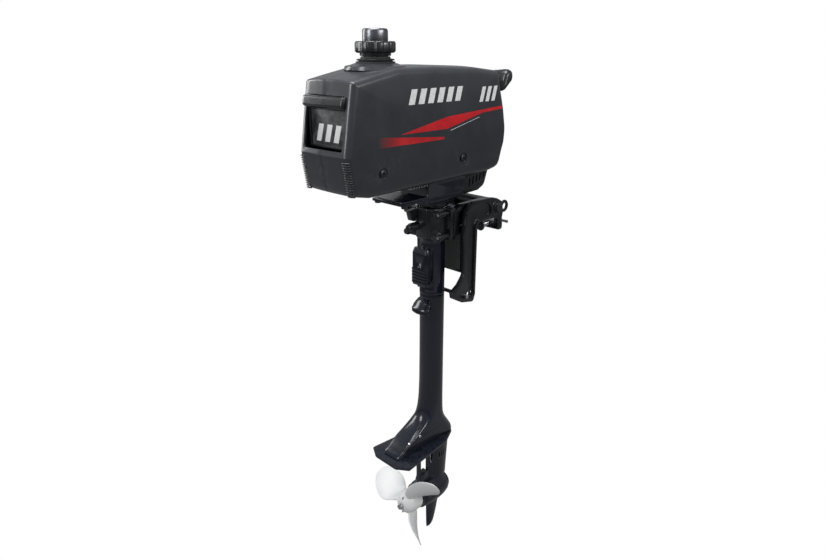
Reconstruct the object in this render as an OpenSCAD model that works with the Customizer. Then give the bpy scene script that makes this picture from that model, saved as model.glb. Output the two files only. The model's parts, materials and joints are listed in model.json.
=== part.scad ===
// Small two-stroke outboard motor on a short-shaft transom clamp.
// X points forward to the boat, Y to port, Z up. The origin is where the
// transom's aft face meets the underside of the clamp bracket's hooks.

/* [Clamp bracket] */
// Half distance between the inner faces of the two clamp arms
arm_inner_y = 48; // [47:0.5:52]
// Thickness of each cast clamp arm
arm_t = 8; // [6:0.5:10]
// Thickness of the transom that the pads are set to at rest
slot_depth = 35; // [33:1:36]
// Height of the tilt bolt above the seat
tilt_z = 17; // [16:0.5:19]

/* [Steering] */
// Distance from the transom's aft face back to the steering axis
steer_back = 52; // [50:0.5:54]
// Outside radius of the column tube
column_r = 21.7; // [20:0.1:22]
// Outside radius of the steering collar
collar_r = 30; // [28:0.5:31]

/* [Leg and propeller] */
// Depth of the propeller axis below the transom seat
prop_depth = 547; // [545:1:560]
// Depth of the plate above the propeller
plate_depth = 425; // [424:1:428]
// Radius of the propeller at the blade tips
prop_r = 93; // [80:1:94]

/* [Cowl] */
// Half width of the cowl
cowl_half_w = 56; // [54:1:60]
// Wall thickness of the cowl
cowl_wall = 3; // [2:0.5:4]

/* [Gears] */
// Teeth on the pinion at the foot of the drive shaft
pinion_teeth = 13; // [13:1:13]
// Teeth on the gear on the propeller shaft
gear_teeth = 27; // [27:1:27]

/* [Hidden] */
$fn = 48;
hull_fn = 32;
run = 0.05;
gap = 0.3;
axis_x = -steer_back;
prop_z = -prop_depth;
tilt_x = 53;
arm_out_y = arm_inner_y + arm_t;
cap_x = -177;
rod_x = -25;
rod_z = -129;
clamp_y = 33;
clamp_z = -16;
lever_y = 32;
choke_y = 28;
choke_z = 165;
tiller_z = 105;
crank_r_shaft = 5;
shaft_top = 205;
collar_low = -25;
collar_top = 30;
bolt_levels = [-17, 22];
seam_z = -128;
plate_top = 4 - plate_depth;
prop_x = -112;
screw_spots = [[-102, -17, -395], [-129, -17, -399]];
black = [0.05, 0.055, 0.065];
charcoal = [0.16, 0.17, 0.185];
steel = [0.7, 0.71, 0.72];
alloy = [0.62, 0.63, 0.64];

// Round bar along X from x0 to x1
module x_bar(r, x0, x1, y, z) {
    translate([x0, y, z]) rotate([0, 90, 0]) cylinder(r = r, h = x1 - x0);
}

// Round bar along Y from y0 to y1
module y_bar(r, y0, y1, x, z) {
    translate([x, y0, z]) rotate([-90, 0, 0]) cylinder(r = r, h = y1 - y0);
}

// Round bar along Z from z0 to z1
module z_bar(r, z0, z1, x, y) {
    translate([x, y, z0]) cylinder(r = r, h = z1 - z0);
}

// Box given by its lowest and highest corners
module slab(low, high) {
    translate(low) cube(high - low);
}

// Flat shape in X and Z, with its thickness running from y0 to y1
module side_plate(y0, y1) {
    translate([0, y1, 0]) rotate([90, 0, 0]) linear_extrude(y1 - y0) children();
}

// Hexagonal bolt head or nut whose axis runs along Z
module hex_z(across, h) {
    cylinder(r = across / 2 / cos(30), h = h, $fn = 6);
}

// ---------------------------------------------------------------- clamp

// Outline of a clamp arm: hook over the transom, long leg, rear toe
module arm_outline() {
    difference() {
        union() {
            polygon([[-33, 0], [-27, 30], [-15, 37], [30, 37], [50, 34], [64, 27],
                     [70, 4], [67, -11], [56, -4], [45, 0], [0, 0], [0, -131],
                     [-5, -144], [-36, -137], [-60, -124], [-62, -110], [-44, -102],
                     [-31, -88]]);
            translate([tilt_x, tilt_z]) circle(r = 14);
            translate([76, 15]) circle(r = 11);
        }
        translate([76, 15]) circle(r = 5.5);
    }
}

module clamp_arm(side) {
    color(black)
    difference() {
        union() {
            side_plate(side > 0 ? arm_inner_y : -arm_out_y, side > 0 ? arm_out_y : -arm_inner_y)
                arm_outline();
            // threaded boss for the clamp screw, inboard of the hook tip
            slab([56, side > 0 ? clamp_y - 9 : -arm_out_y, clamp_z - 9],
                 [70, side > 0 ? arm_out_y : 9 - clamp_y, clamp_z + 5]);
            slab([56, side > 0 ? arm_inner_y - 1 : -arm_out_y, clamp_z + 4],
                 [68, side > 0 ? arm_out_y : 1 - arm_inner_y, 3]);
        }
        // tilt bolt hole, rod holes and clamp screw thread
        y_bar(5, -60, 60, tilt_x, tilt_z);
        for (k = [0:2]) y_bar(3.5 + run, -60, 60, rod_x + 9.5 * k, rod_z + 1.5 * k);
        x_bar(5 + run, 50, 75, side * clamp_y, clamp_z);
        // the foot reaches aft on the starboard arm only
        if (side > 0) slab([-70, arm_inner_y - 1, -150], [-31, arm_out_y + 1, -88]);
        // web pocket on the outer face
        side_plate(side > 0 ? arm_out_y - 3 : -arm_out_y - 1, side > 0 ? arm_out_y + 1 : 3 - arm_out_y)
            polygon([[-22, 24], [-10, 30], [26, 30], [34, 22], [30, 8], [-8, 6], [-8, -110],
                     [-20, -92], [-24, -80], [-26, 0]]);
    }
}

module clamp_arm_starboard() { clamp_arm(-1); }
module clamp_arm_port() { clamp_arm(1); }

// Cross plate between the arms that bears on the transom
module transom_plate() {
    color(black) slab([-4, -arm_inner_y, -98], [0, arm_inner_y, 1.5]);
}

module tilt_bolt() {
    color(steel) {
        y_bar(5, -arm_out_y, arm_out_y, tilt_x, tilt_z);
        for (s = [-1, 1])
            translate([tilt_x, s * (arm_out_y + 3), tilt_z]) rotate([90, 0, 0])
                translate([0, 0, -3]) hex_z(16, 6);
    }
}

module thrust_rod() {
    color(steel) {
        y_bar(3.5, -arm_out_y - 4, arm_out_y + 1, rod_x, rod_z);
        y_bar(6, arm_out_y + 1, arm_out_y + 7, rod_x, rod_z);
    }
}

module clamp_pad(side) {
    color(steel) x_bar(10.5, slot_depth, slot_depth + 4, side * clamp_y, clamp_z);
}

module clamp_pad_starboard() { clamp_pad(-1); }
module clamp_pad_port() { clamp_pad(1); }

module clamp_screw(side) {
    color(steel) {
        x_bar(5, slot_depth + 4.3, 88, side * clamp_y, clamp_z);
        x_bar(7, 82, 93, side * clamp_y, clamp_z);
        y_bar(2.5, side * clamp_y - 22, side * clamp_y + 22, 88, clamp_z);
    }
}

module clamp_screw_starboard() { clamp_screw(-1); }
module clamp_screw_port() { clamp_screw(1); }

// ---------------------------------------------------------------- swivel

// Forward half of the steering collar, with two cheeks that reach to the tilt bolt
module swivel_bracket() {
    color(black)
    difference() {
        union() {
            z_bar(collar_r, collar_low, collar_top, axis_x, 0);
            slab([axis_x, -40, collar_low], [axis_x + 14, 40, collar_top - 2]);
            for (s = [-1, 1]) {
                side_plate(s > 0 ? 30 : -42, s > 0 ? 42 : -30)
                    polygon([[-44, -18], [-44, 24], [-24, 32], [40, 32], [56, 30],
                             [66, 18], [54, 3], [-10, 3], [-24, -6], [-30, -18]]);
            }
            y_bar(14, -arm_inner_y + gap, arm_inner_y - gap, tilt_x, tilt_z);
            slab([-30, -31, 12], [-20, 31, 27]);
        }
        // half bore for the bushes; the rear half belongs to the cap
        z_bar(25, -60, 60, axis_x, 0);
        slab([-120, -60, -60], [axis_x, 60, 60]);
        y_bar(5 + run, -60, 60, tilt_x, tilt_z);
        for (s = [-1, 1], z = bolt_levels) x_bar(3, -60, -30, s * 34, z);
    }
}

// Rear half of the collar, held by four long bolts
module swivel_cap() {
    color(black)
    difference() {
        union() {
            z_bar(collar_r, collar_low, collar_top, axis_x, 0);
            slab([axis_x - 28, -17, collar_low], [axis_x, 17, collar_top]);
            for (s = [-1, 1], z = bolt_levels) {
                x_bar(6, -78, axis_x - 12, s * 34, z);
                slab([-78, s > 0 ? 20 : -34, z - 5], [axis_x - 14, s > 0 ? 34 : -20, z + 5]);
            }
            x_bar(7, -100, axis_x - 25, 8, -2);
            side_plate(8, 20) polygon([[-80, 26], [-98, 24], [-94, 8], [-88, 6], [-74, 14]]);
        }
        z_bar(25, -60, 60, axis_x, 0);
        slab([axis_x, -60, -60], [0, 60, 60]);
        for (s = [-1, 1], z = bolt_levels) x_bar(3, -90, -50, s * 34, z);
        x_bar(4 + run, -101, axis_x - 22, 8, -2);
    }
}

module swivel_bolts() {
    color(steel)
    for (s = [-1, 1], z = bolt_levels) {
        x_bar(3, -78, axis_x + 14, s * 34, z);
        translate([-83, s * 34, z]) rotate([0, 90, 0]) hex_z(10, 5);
    }
}

module steering_bushes() {
    color([0.85, 0.85, 0.8])
    for (z = [collar_low + 1, collar_top - 17]) difference() {
        z_bar(25, z, z + 16, axis_x, 0);
        z_bar(column_r + run, z - 1, z + 17, axis_x, 0);
    }
}

module friction_screw() {
    color(steel) {
        x_bar(4, -101, axis_x - 25.5, 8, -2);
        difference() {
            x_bar(5.5, -105, -100, 8, -2);
            slab([-106, 7.2, -8], [-103.5, 8.8, 4]);
        }
    }
}

// ---------------------------------------------------------------- leg

// Upper column: round tube with the boss that the relief cover closes
module column() {
    color(black)
    difference() {
        union() {
            z_bar(column_r, seam_z, 46, axis_x, 0);
            slab([axis_x - 25, -16, -104], [axis_x, 16, -42]);
            z_bar(28, collar_top + 1, 46, axis_x, 0);
        }
        z_bar(16, -140, 50, axis_x, 0);
    }
}

module relief_cover() {
    color(black)
    difference() {
        union() {
            translate([axis_x - 34, 0, -107]) linear_extrude(66)
                polygon([[0, -14], [3, -18], [9, -18], [9, 18], [3, 18], [0, 14]]);
            for (k = [0:3])
                slab([axis_x - 35.5, -15, -104 + 7 * k], [axis_x - 33, 15, -101 + 7 * k]);
        }
        x_bar(4, axis_x - 40, axis_x - 29, 0, -70);
    }
}

// Streamlined slice of the leg at one height
module leg_slice(z, x0, x1, half_w) {
    r = min(half_w, (x1 - x0) / 2);
    translate([0, 0, z]) linear_extrude(1) {
        translate([x0 + r, 0]) circle(r = r, $fn = hull_fn);
        translate([x1 - r, 0]) circle(r = r, $fn = hull_fn);
    }
}

// Lower column: round at the top, drawn out fore and aft above the plate
module leg() {
    color(black)
    difference() {
        union() {
            z_bar(column_r, -250, seam_z, axis_x, 0);
            hull() {
                leg_slice(-251, axis_x - column_r, axis_x + column_r, column_r);
                leg_slice(-340, -76, -29, 22);
            }
            hull() {
                leg_slice(-340, -76, -29, 22);
                leg_slice(-385, -86, -26, 22);
            }
            hull() {
                leg_slice(-385, -86, -26, 22);
                leg_slice(plate_top, -140, -2, 23);
            }
            hull() {
                slab([-158, -19, plate_top], [-120, 19, -413]);
                slab([-112, -16, -386], [-98, 16, -378]);
            }
            // hooded lip on the aft side
            intersection() {
                difference() {
                    union() {
                        translate([axis_x, 0, -150]) cylinder(r1 = 37.5, r2 = column_r, h = 16);
                        z_bar(37.5, -160, -150, axis_x, 0);
                    }
                    z_bar(32, -161, -153, axis_x, 0);
                }
                side_plate(-40, 40) polygon([[-100, -170], [-60, -170], [-60, -120], [-100, -120]]);
                slab([-100, -23, -170], [-60, 23, -120]);
            }
        }
        z_bar(16, -260, -120, axis_x, 0);
        z_bar(12, -430, -250, axis_x, 0);
        for (p = screw_spots) translate(p) rotate([90, 0, 0]) cylinder(r = 2.5, h = 8, center = true);
    }
}

// Plate above the propeller, strut, bullet and skeg in one casting
module gearcase() {
    color(black)
    difference() {
        union() {
            translate([0, 0, -plate_depth - 4]) linear_extrude(8)
                polygon([[-158, 48], [-172, 26], [-173, -26], [-158, -48], [-45, -36],
                         [-14, -21], [-2, -8], [-2, 8], [-14, 21], [-45, 36]]);
            hull() {
                leg_slice(-428, -64, 2, 13);
                leg_slice(-525, -64, -8, 13);
            }
            slab([-87, -5, -520], [-81.5, 5, plate_top - 4]);
            translate([-88, 0, prop_z]) rotate([0, 90, 0]) cylinder(r = 27, h = 62);
            translate([-26, 0, prop_z]) rotate([0, 90, 0]) cylinder(r1 = 27, r2 = 12, h = 18);
            hull() {
                slab([-88, -5, -528], [-64, 5, -512]);
                slab([-66, -9, -528], [-60, 9, -500]);
            }
            hull() {
                slab([-62, -3.5, -575], [-26, 3.5, -570]);
                slab([-60, -2, -641], [-43, 2, -632]);
            }
        }
        // gear cavity, shaft bore and drive shaft passage
        x_bar(20, -90, -14, 0, prop_z);
        z_bar(8, -560, -420, axis_x, 0);
            }
}

module gearcase_cap() {
    color(black)
    difference() {
        union() {
            x_bar(20, -88, -76, 0, prop_z);
            x_bar(25, -92, -88, 0, prop_z);
        }
        x_bar(5 + run, -95, -70, 0, prop_z);
    }
}

module housing_screws() {
    color(steel) {
        for (p = screw_spots) translate(p) rotate([90, 0, 0]) cylinder(r = 2.5, h = 7, center = true);
        x_bar(4, axis_x - 32, axis_x - 29, 0, -70);
    }
}

// ---------------------------------------------------------------- engine pan and cowl

module engine_tray() {
    color(black)
    difference() {
        union() {
            slab([-160, -36, 50], [-95, 36, 56]);
            slab([-96, -36, 46], [-16, 36, 54]);
            slab([-96, -30, 53], [-10, 30, 62]);
            difference() {
                slab([-99, -34, 53], [-10.3, 34, 78.5]);
                slab([-96, -31, 52], [-10, 31, 80]);
            }
        }
        z_bar(16, 40, 70, axis_x, 0);
    }
}

module tray_bolts() {
    color(steel)
    for (s = [-1, 1], x = [-150, -104]) translate([x, s * 30, 45.5]) hex_z(10, 4.5);
}

module apron_outline() {
    polygon([[-10, 46], [30, 48], [46, 56], [56, 82], [52, 84], [-10, 82]]);
}

// Panel under the front of the cowl, with five slots on each side
module front_apron() {
    color(black)
    difference() {
        side_plate(-30, 30) apron_outline();
        side_plate(-27, 27)
            polygon([[-12, 50], [28, 52], [42, 58], [50, 80], [50, 90], [-12, 90]]);
        for (k = [0:4]) slab([4 + 9 * k, -32, 58 + 2 * k], [8 + 9 * k, 32, 72 + k]);
    }
}

// Side outline of the cowl, drawn in by an inset
module cowl_outline(inset = 0) {
    offset(delta = -inset)
        polygon([[-267, 240], [-274, 187], [-283, 140], [-280, 104], [-272, 84], [-238, 79],
                 [29, 83], [54, 86], [66, 97], [74, 122], [78, 146], [70, 184], [57, 222],
                 [46, 246], [-8, 252], [-100, 256], [-183, 256]]);
}

// Body of both cowl halves together
module cowl_body(half_w, inset) {
    hull() {
        side_plate(-half_w + 14, half_w - 14) cowl_outline(inset);
        side_plate(-half_w + 4, half_w - 4) cowl_outline(inset + 5);
        side_plate(-half_w, half_w) cowl_outline(inset + 12);
    }
}

module cowl_half(side) {
    color(charcoal)
    difference() {
        cowl_body(cowl_half_w, 0);
        cowl_body(cowl_half_w - cowl_wall, cowl_wall);
        slab([-300, side > 0 ? -80 : 0, 0], [120, side > 0 ? 0 : 80, 300]);
        // fuel neck hole, aft window, underside opening and screw holes
        z_bar(24, 230, 270, cap_x, 0);
        slab([-300, -42, 147], [-250, 42, 220]);
        slab([-180, -40, 60], [70, 40, 86]);
        for (x = [-217, -42]) y_bar(3, -70, 70, x, 112 + (x + 217) * 0.01);
        // rope guide, controls and lever slot in the front face
        slab([36, -6, 222], [90, 6, 237]);
        x_bar(6 + gap, 50, 90, choke_y, choke_z);
        x_bar(7 + gap, 50, 90, -choke_y, 150);
        slab([50, lever_y - 5, 98], [90, lever_y + 5, 134]);
        y_bar(6 + gap, 40, 70, -90, 130);
    }
}

module cowl_starboard() { cowl_half(-1); }
module cowl_port() { cowl_half(1); }

module cowl_screws() {
    color(steel)
    for (s = [-1, 1], x = [-217, -42]) {
        y = cowl_half_w;
        y_bar(3, s > 0 ? y - 16 : -y, s > 0 ? y : -y + 16, x, 112 + (x + 217) * 0.01);
        y_bar(5.5, s > 0 ? y : -y - 1.5, s > 0 ? y + 1.5 : -y, x, 112 + (x + 217) * 0.01);
    }
}

module carry_handle() {
    color(black)
    side_plate(-42, 42)
        polygon([[-279, 206], [-276, 218], [-266, 219], [-263, 208], [-268, 203]]);
}

module aft_panel() {
    color([0.22, 0.23, 0.24])
    union() {
        slab([-266, -42, 148], [-263, 42, 202]);
        slab([-272, -42, 147], [-263, 42, 150]);
    }
}

// ---------------------------------------------------------------- fuel

module fuel_tank() {
    color([0.85, 0.85, 0.8])
    difference() {
        union() {
            slab([-250, -44, 158], [-112, 44, 236]);
            z_bar(18, 236, 272, cap_x, 0);
        }
        slab([-247, -41, 161], [-115, 41, 233]);
        z_bar(15, 232, 273, cap_x, 0);
    }
}

module neck_grommet() {
    color(black)
    difference() {
        union() {
            z_bar(23.9, 250, 256.5, cap_x, 0);
            z_bar(28, 256.5, 259, cap_x, 0);
            z_bar(25, 259, 261, cap_x, 0);
            z_bar(27.5, 261, 263, cap_x, 0);
            z_bar(22, 263, 267, cap_x, 0);
        }
        z_bar(18.1, 249, 270, cap_x, 0);
    }
}

// Lobed screw cap
module fuel_cap() {
    color(black)
    difference() {
        union() {
            z_bar(27, 272.3, 288, cap_x, 0);
            for (a = [0:45:359])
                translate([cap_x, 0, 0]) rotate([0, 0, a]) translate([24, -6, 272.3]) cube([5.4, 12, 15.7]);
            z_bar(14.5, 262, 273, cap_x, 0);
        }
        z_bar(5 + run, 261, 289, cap_x, 0);
        z_bar(20, 286, 289, cap_x, 0);
    }
}

// Air vent knob on the cap
module vent_knob() {
    color([0.4, 0.4, 0.42]) {
        z_bar(5, 264, 288, cap_x, 0);
        z_bar(19, 286.3, 305, cap_x, 0);
    }
}

// ---------------------------------------------------------------- power head

module crankcase() {
    color(alloy)
    difference() {
        union() {
            z_bar(30, 62.3, 148, axis_x, 0);
            slab([-100, -30, 80], [axis_x, 30, 130]);
            x_bar(24, -146, -96, 0, 105);
            for (k = [0:6]) slab([-140 + 6 * k, -34, 74], [-138 + 6 * k, 34, 136]);
            slab([axis_x, -16, 92], [-14, 16, 118]);
        }
        z_bar(24, 76, 134, axis_x, 0);
        x_bar(18, -150, -60, 0, 105);
        z_bar(9, 60, 150, axis_x, 0);
        x_bar(9, -40, -10, 0, 105);
    }
}

module cylinder_head() {
    color(alloy)
    difference() {
        union() {
            x_bar(26, -156, -146, 0, 105);
            for (k = [-2:2]) slab([-166, -32, 104 + 11 * k], [-152, 32, 107 + 11 * k]);
        }
        x_bar(6, -170, -140, 0, 105);
    }
}

module spark_plug() {
    color([0.9, 0.9, 0.88]) {
        x_bar(6, -164, -146, 0, 105);
        x_bar(5, -184, -164, 0, 105);
    }
}

module plug_cap() {
    color(black)
    difference() {
        union() {
            x_bar(8, -202, -172, 0, 105);
            z_bar(6, 105, 130, -196, 0);
        }
        x_bar(5, -185, -170, 0, 105);
    }
}

module carburettor() {
    color(alloy)
    difference() {
        union() {
            x_bar(13, -14, 18, 0, 105);
            z_bar(14, 84, 100, 4, 0);
            z_bar(6, 112, 134, 4, 0);
        }
        x_bar(8, -15, 19, 0, 105);
    }
}

module air_silencer() {
    color(black)
    difference() {
        slab([18, -26, 90], [44, 26, 132]);
        slab([20, -24, 92], [42, 24, 130]);
        x_bar(8, 17, 21, 0, 105);
    }
}

module ignition_coil() {
    color(black) {
        slab([-80, 36, 152], [-40, 50, 172]);
        slab([-72, 31, 140], [-48, 38, 153]);
    }
}

module flywheel() {
    color(alloy)
    difference() {
        union() {
            z_bar(45, 178, 196, axis_x, 0);
            for (a = [0:30:359])
                translate([axis_x, 0, 196]) rotate([0, 0, a]) translate([28, -1.2, 0]) cube([16, 2.4, 8]);
        }
        z_bar(crank_r_shaft, 170, 210, axis_x, 0);
        z_bar(38, 176, 190, axis_x, 0);
    }
    color(alloy)
    difference() {
        z_bar(12, 178, 190, axis_x, 0);
        z_bar(crank_r_shaft, 170, 210, axis_x, 0);
    }
}

module recoil_housing() {
    color(black)
    difference() {
        union() {
            z_bar(47, 208, 238, axis_x, 0);
            slab([-14, -9, 220], [42, 9, 236]);
        }
        z_bar(44, 200, 234, axis_x, 0);
        x_bar(4, -20, 60, 0, 230);
        z_bar(6, 200, 240, axis_x, 0);
    }
}

module recoil_reel() {
    color([0.8, 0.8, 0.78])
    union() {
        z_bar(38, 224, 226, axis_x, 0);
        z_bar(28, 218, 226, axis_x, 0);
        z_bar(38, 214, 218, axis_x, 0);
        z_bar(6 - run, 226, 237, axis_x, 0);
    }
}

// Starter handle: a bar across the front, drop shaped from the end
module recoil_grip() {
    color(black)
    difference() {
        hull() {
            y_bar(11, -49, 49, 82, 235, $fn = hull_fn);
            y_bar(4, -44, 44, 68, 214, $fn = hull_fn);
        }
        x_bar(2.5, 55, 90, 0, 230);
    }
}

// ---------------------------------------------------------------- drive line

module crankshaft() {
    color(steel) {
        z_bar(crank_r_shaft, 112, shaft_top, axis_x, 0);
        z_bar(8, 112, 150, axis_x, 0);
        z_bar(22, 112, 120, axis_x, 0);
        z_bar(22, 88, 96, axis_x, 0);
        z_bar(5, 96, 112, axis_x + 12, 0);
        z_bar(8, 66, 88, axis_x, 0);
    }
}

module drive_shaft() {
    color(steel) z_bar(4, -532, 66, axis_x, 0);
}

// Grooves between the teeth of a bevel wheel whose large end is at z = 0
module tooth_grooves(teeth, r, h) {
    for (k = [0:teeth - 1])
        rotate([0, 0, 360 * k / teeth]) translate([r - 3, -0.6, -1]) cube([8, 1.2, h + 2]);
}

module pinion() {
    color(steel)
    difference() {
        translate([axis_x, 0, prop_z + 18]) rotate([180, 0, 0]) difference() {
            cylinder(r1 = 8.5, r2 = 5.5, h = 4);
            tooth_grooves(pinion_teeth, 8.5, 4);
        }
        z_bar(4, -560, -500, axis_x, 0);
    }
}

module drive_gear() {
    color(steel)
    difference() {
        translate([axis_x - 14, 0, prop_z]) rotate([0, 90, 0]) union() {
            translate([0, 0, -3]) cylinder(r = 17, h = 3);
            difference() {
                cylinder(r1 = 17, r2 = 13, h = 5);
                tooth_grooves(gear_teeth, 17, 5);
            }
        }
        x_bar(5, -90, 0, 0, prop_z);
    }
}

module impeller() {
    color([0.1, 0.1, 0.1])
    difference() {
        union() {
            z_bar(5.5, -408, -398, axis_x, 0);
            for (a = [0:60:359])
                translate([axis_x, 0, -408]) rotate([0, 0, a]) translate([5, -0.8, 0]) cube([3.6, 1.6, 10]);
        }
        z_bar(4, -420, -390, axis_x, 0);
    }
}

module pump_housing() {
    color(steel)
    difference() {
        z_bar(12, -411, -394, axis_x, 0);
        z_bar(9.2, -408.8, -397, axis_x, 0);
        z_bar(4 + run, -420, -390, axis_x, 0);
    }
}

// Piston at mid stroke in the cylinder
module piston() {
    color(alloy)
    difference() {
        x_bar(17.9, -132, -104, 0, 105);
        x_bar(15, -128, -103, 0, 105);
    }
}

module shaft_bearings() {
    color(steel) {
        for (z = [66, 137]) difference() {
            z_bar(9, z, z + 10, axis_x, 0);
            z_bar(8 + run, z - 1, z + 11, axis_x, 0);
        }
        difference() {
            z_bar(8, -500, -480, axis_x, 0);
            z_bar(4 + run, -501, -479, axis_x, 0);
        }
    }
}

module prop_shaft() {
    color(steel) x_bar(5, prop_x - 26, -45, 0, prop_z);
}

// One blade: a rounded leaf set at an angle to the disc
module blade() {
    leaf_half = 34.8;
    rotate([0, 0, -42]) translate([0, 2, 0]) rotate([90, 0, 0]) linear_extrude(4) {
        translate([0, prop_r - leaf_half]) scale([0.85, 1]) circle(r = leaf_half);
        translate([-9, 16]) square([18, 24]);
    }
}

module propeller() {
    color([0.95, 0.95, 0.93])
    difference() {
        union() {
            x_bar(22, prop_x - 8, prop_x + 19, 0, prop_z);
            translate([prop_x - 20, 0, prop_z]) rotate([0, 90, 0]) cylinder(r1 = 10, r2 = 22, h = 12);
            for (k = [0:2])
                translate([prop_x, 0, prop_z]) rotate([39 + 120 * k, 0, 0]) blade();
        }
        x_bar(5, -150, -80, 0, prop_z);
        z_bar(1.5, prop_z - 30, prop_z + 30, prop_x - 16, 0);
    }
}

// Pin that holds the propeller; its ends show at the cone of the hub
module shear_pin() {
    color(steel)
    for (s = [0, 1])
        translate([prop_x - 16, 0, prop_z]) rotate([180 * s, 0, 0]) translate([0, 0, 5]) cylinder(r = 1.5, h = 12.5);
}

// ---------------------------------------------------------------- controls

module tiller_bracket() {
    color(black)
    difference() {
        union() {
            side_plate(-16, 16) polygon([[66.4, 98], [84, 98], [84, 114], [71.5, 114]]);
            for (y = [-16, 10])
                side_plate(y, y + 6) polygon([[80, 97], [100, 97], [100, 113], [80, 113]]);
        }
        y_bar(4, -20, 20, 93, tiller_z);
        slab([82, -9.9, 90], [104, 9.9, 120]);
    }
}

// Steering handle, folded up against the front of the cowl
module tiller() {
    color(black)
    union() {
        y_bar(4 - run, -16, 16, 93, tiller_z);
        y_bar(8, -9.7, 9.7, 93, tiller_z);
        z_bar(8, tiller_z + 4, 124, 93, 0);
        z_bar(11, 124, 198, 93, 0);
    }
}

module throttle_lever() {
    color(black)
    union() {
        y_bar(4, lever_y - 4, lever_y + 4, 62, 116);
        slab([62, lever_y - 2, 113], [86, lever_y + 2, 119]);
        y_bar(5, lever_y - 5, lever_y + 5, 86, 116);
    }
}

module choke_knob() {
    color(black) {
        x_bar(6, 60, 79, choke_y, choke_z);
        x_bar(9, 79, 88, choke_y, choke_z);
    }
}

module stop_button() {
    color([0.8, 0.1, 0.08]) x_bar(7, 62, 82, -choke_y, 150);
}

module fuel_cock() {
    color(black) {
        y_bar(6, 46, 58, -90, 130);
        slab([-94, 58, 127], [-70, 62, 133]);
    }
}

clamp_arm_starboard();
clamp_arm_port();
transom_plate();
tilt_bolt();
thrust_rod();
clamp_pad_starboard();
clamp_pad_port();
clamp_screw_starboard();
clamp_screw_port();
swivel_bracket();
swivel_cap();
swivel_bolts();
steering_bushes();
friction_screw();
column();
relief_cover();
leg();
gearcase();
gearcase_cap();
housing_screws();
engine_tray();
tray_bolts();
front_apron();
cowl_starboard();
cowl_port();
cowl_screws();
carry_handle();
aft_panel();
fuel_tank();
neck_grommet();
fuel_cap();
vent_knob();
crankcase();
cylinder_head();
spark_plug();
plug_cap();
carburettor();
air_silencer();
ignition_coil();
recoil_housing();
recoil_grip();
recoil_reel();
flywheel();
crankshaft();
drive_shaft();
pinion();
impeller();
pump_housing();
piston();
shaft_bearings();
prop_shaft();
drive_gear();
propeller();
shear_pin();
tiller_bracket();
tiller();
throttle_lever();
choke_knob();
stop_button();
fuel_cock();
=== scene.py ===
import json
from math import atan2, ceil, cos, degrees, hypot, pi, radians, sin, tan

import bmesh
import bpy
from mathutils import Matrix, Vector


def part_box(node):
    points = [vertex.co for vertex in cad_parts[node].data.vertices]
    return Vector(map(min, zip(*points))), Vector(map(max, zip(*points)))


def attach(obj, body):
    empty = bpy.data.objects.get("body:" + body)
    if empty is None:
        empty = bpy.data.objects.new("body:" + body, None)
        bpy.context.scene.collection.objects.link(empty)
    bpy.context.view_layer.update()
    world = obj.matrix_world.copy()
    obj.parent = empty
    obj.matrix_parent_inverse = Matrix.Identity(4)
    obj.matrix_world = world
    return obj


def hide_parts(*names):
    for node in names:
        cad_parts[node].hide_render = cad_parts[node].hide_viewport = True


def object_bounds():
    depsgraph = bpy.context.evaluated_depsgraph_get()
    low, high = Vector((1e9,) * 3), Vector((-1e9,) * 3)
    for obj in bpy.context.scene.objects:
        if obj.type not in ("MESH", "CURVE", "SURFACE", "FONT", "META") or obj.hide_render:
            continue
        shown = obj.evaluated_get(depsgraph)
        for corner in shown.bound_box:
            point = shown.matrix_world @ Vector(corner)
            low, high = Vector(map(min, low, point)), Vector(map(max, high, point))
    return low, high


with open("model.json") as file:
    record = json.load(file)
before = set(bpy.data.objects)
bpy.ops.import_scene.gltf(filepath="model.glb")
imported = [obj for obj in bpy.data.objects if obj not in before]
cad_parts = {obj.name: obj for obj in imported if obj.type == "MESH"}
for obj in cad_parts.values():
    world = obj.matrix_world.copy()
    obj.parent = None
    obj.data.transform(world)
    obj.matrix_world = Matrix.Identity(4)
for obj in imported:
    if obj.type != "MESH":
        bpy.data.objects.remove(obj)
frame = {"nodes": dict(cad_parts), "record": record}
cad_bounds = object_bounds()

MM = 0.001


# ---------------------------------------------------------------- places read from the frame

def limits(node):
    """Lowest and highest corner of a CAD node, in millimetres."""
    low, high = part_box(node)
    return low / MM, high / MM


def middle(node):
    """Centre of a CAD node's box, in millimetres."""
    low, high = limits(node)
    return (low + high) / 2


steer_x = middle("crankshaft").x
prop_z = middle("prop_shaft").z
cap_x = middle("fuel_cap").x
tilt_x = middle("tilt_bolt").x
tilt_z = middle("tilt_bolt").z
arm_inner = limits("transom_plate")[1].y
arm_outer = limits("clamp_arm_port")[1].y
cowl_low, _ = limits("cowl_starboard")
_, cowl_high = limits("cowl_port")
column_low, column_high = limits("column")
leg_low, leg_high = limits("leg")
prop_low, prop_high = limits("propeller")
column_r = 21.7


# ---------------------------------------------------------------- camera, lights and floor

CAMERA_PLACE = Vector((-0.8255, -0.7066, 0.2839))
CAMERA_TURN = radians(-45.7)
CAMERA_DIP = radians(20.4)
SENSOR = 36.0
LENS = 27.66


def add_camera():
    """Camera at the viewing angle of the reference: from aft, to starboard and above."""
    data = bpy.data.cameras.new("camera")
    data.sensor_width = SENSOR
    data.lens = LENS
    data.clip_start = 0.05
    camera = bpy.data.objects.new("camera", data)
    camera.location = CAMERA_PLACE
    camera.rotation_euler = (pi / 2 - CAMERA_DIP, 0, CAMERA_TURN)
    bpy.context.scene.collection.objects.link(camera)
    bpy.context.scene.camera = camera


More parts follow.
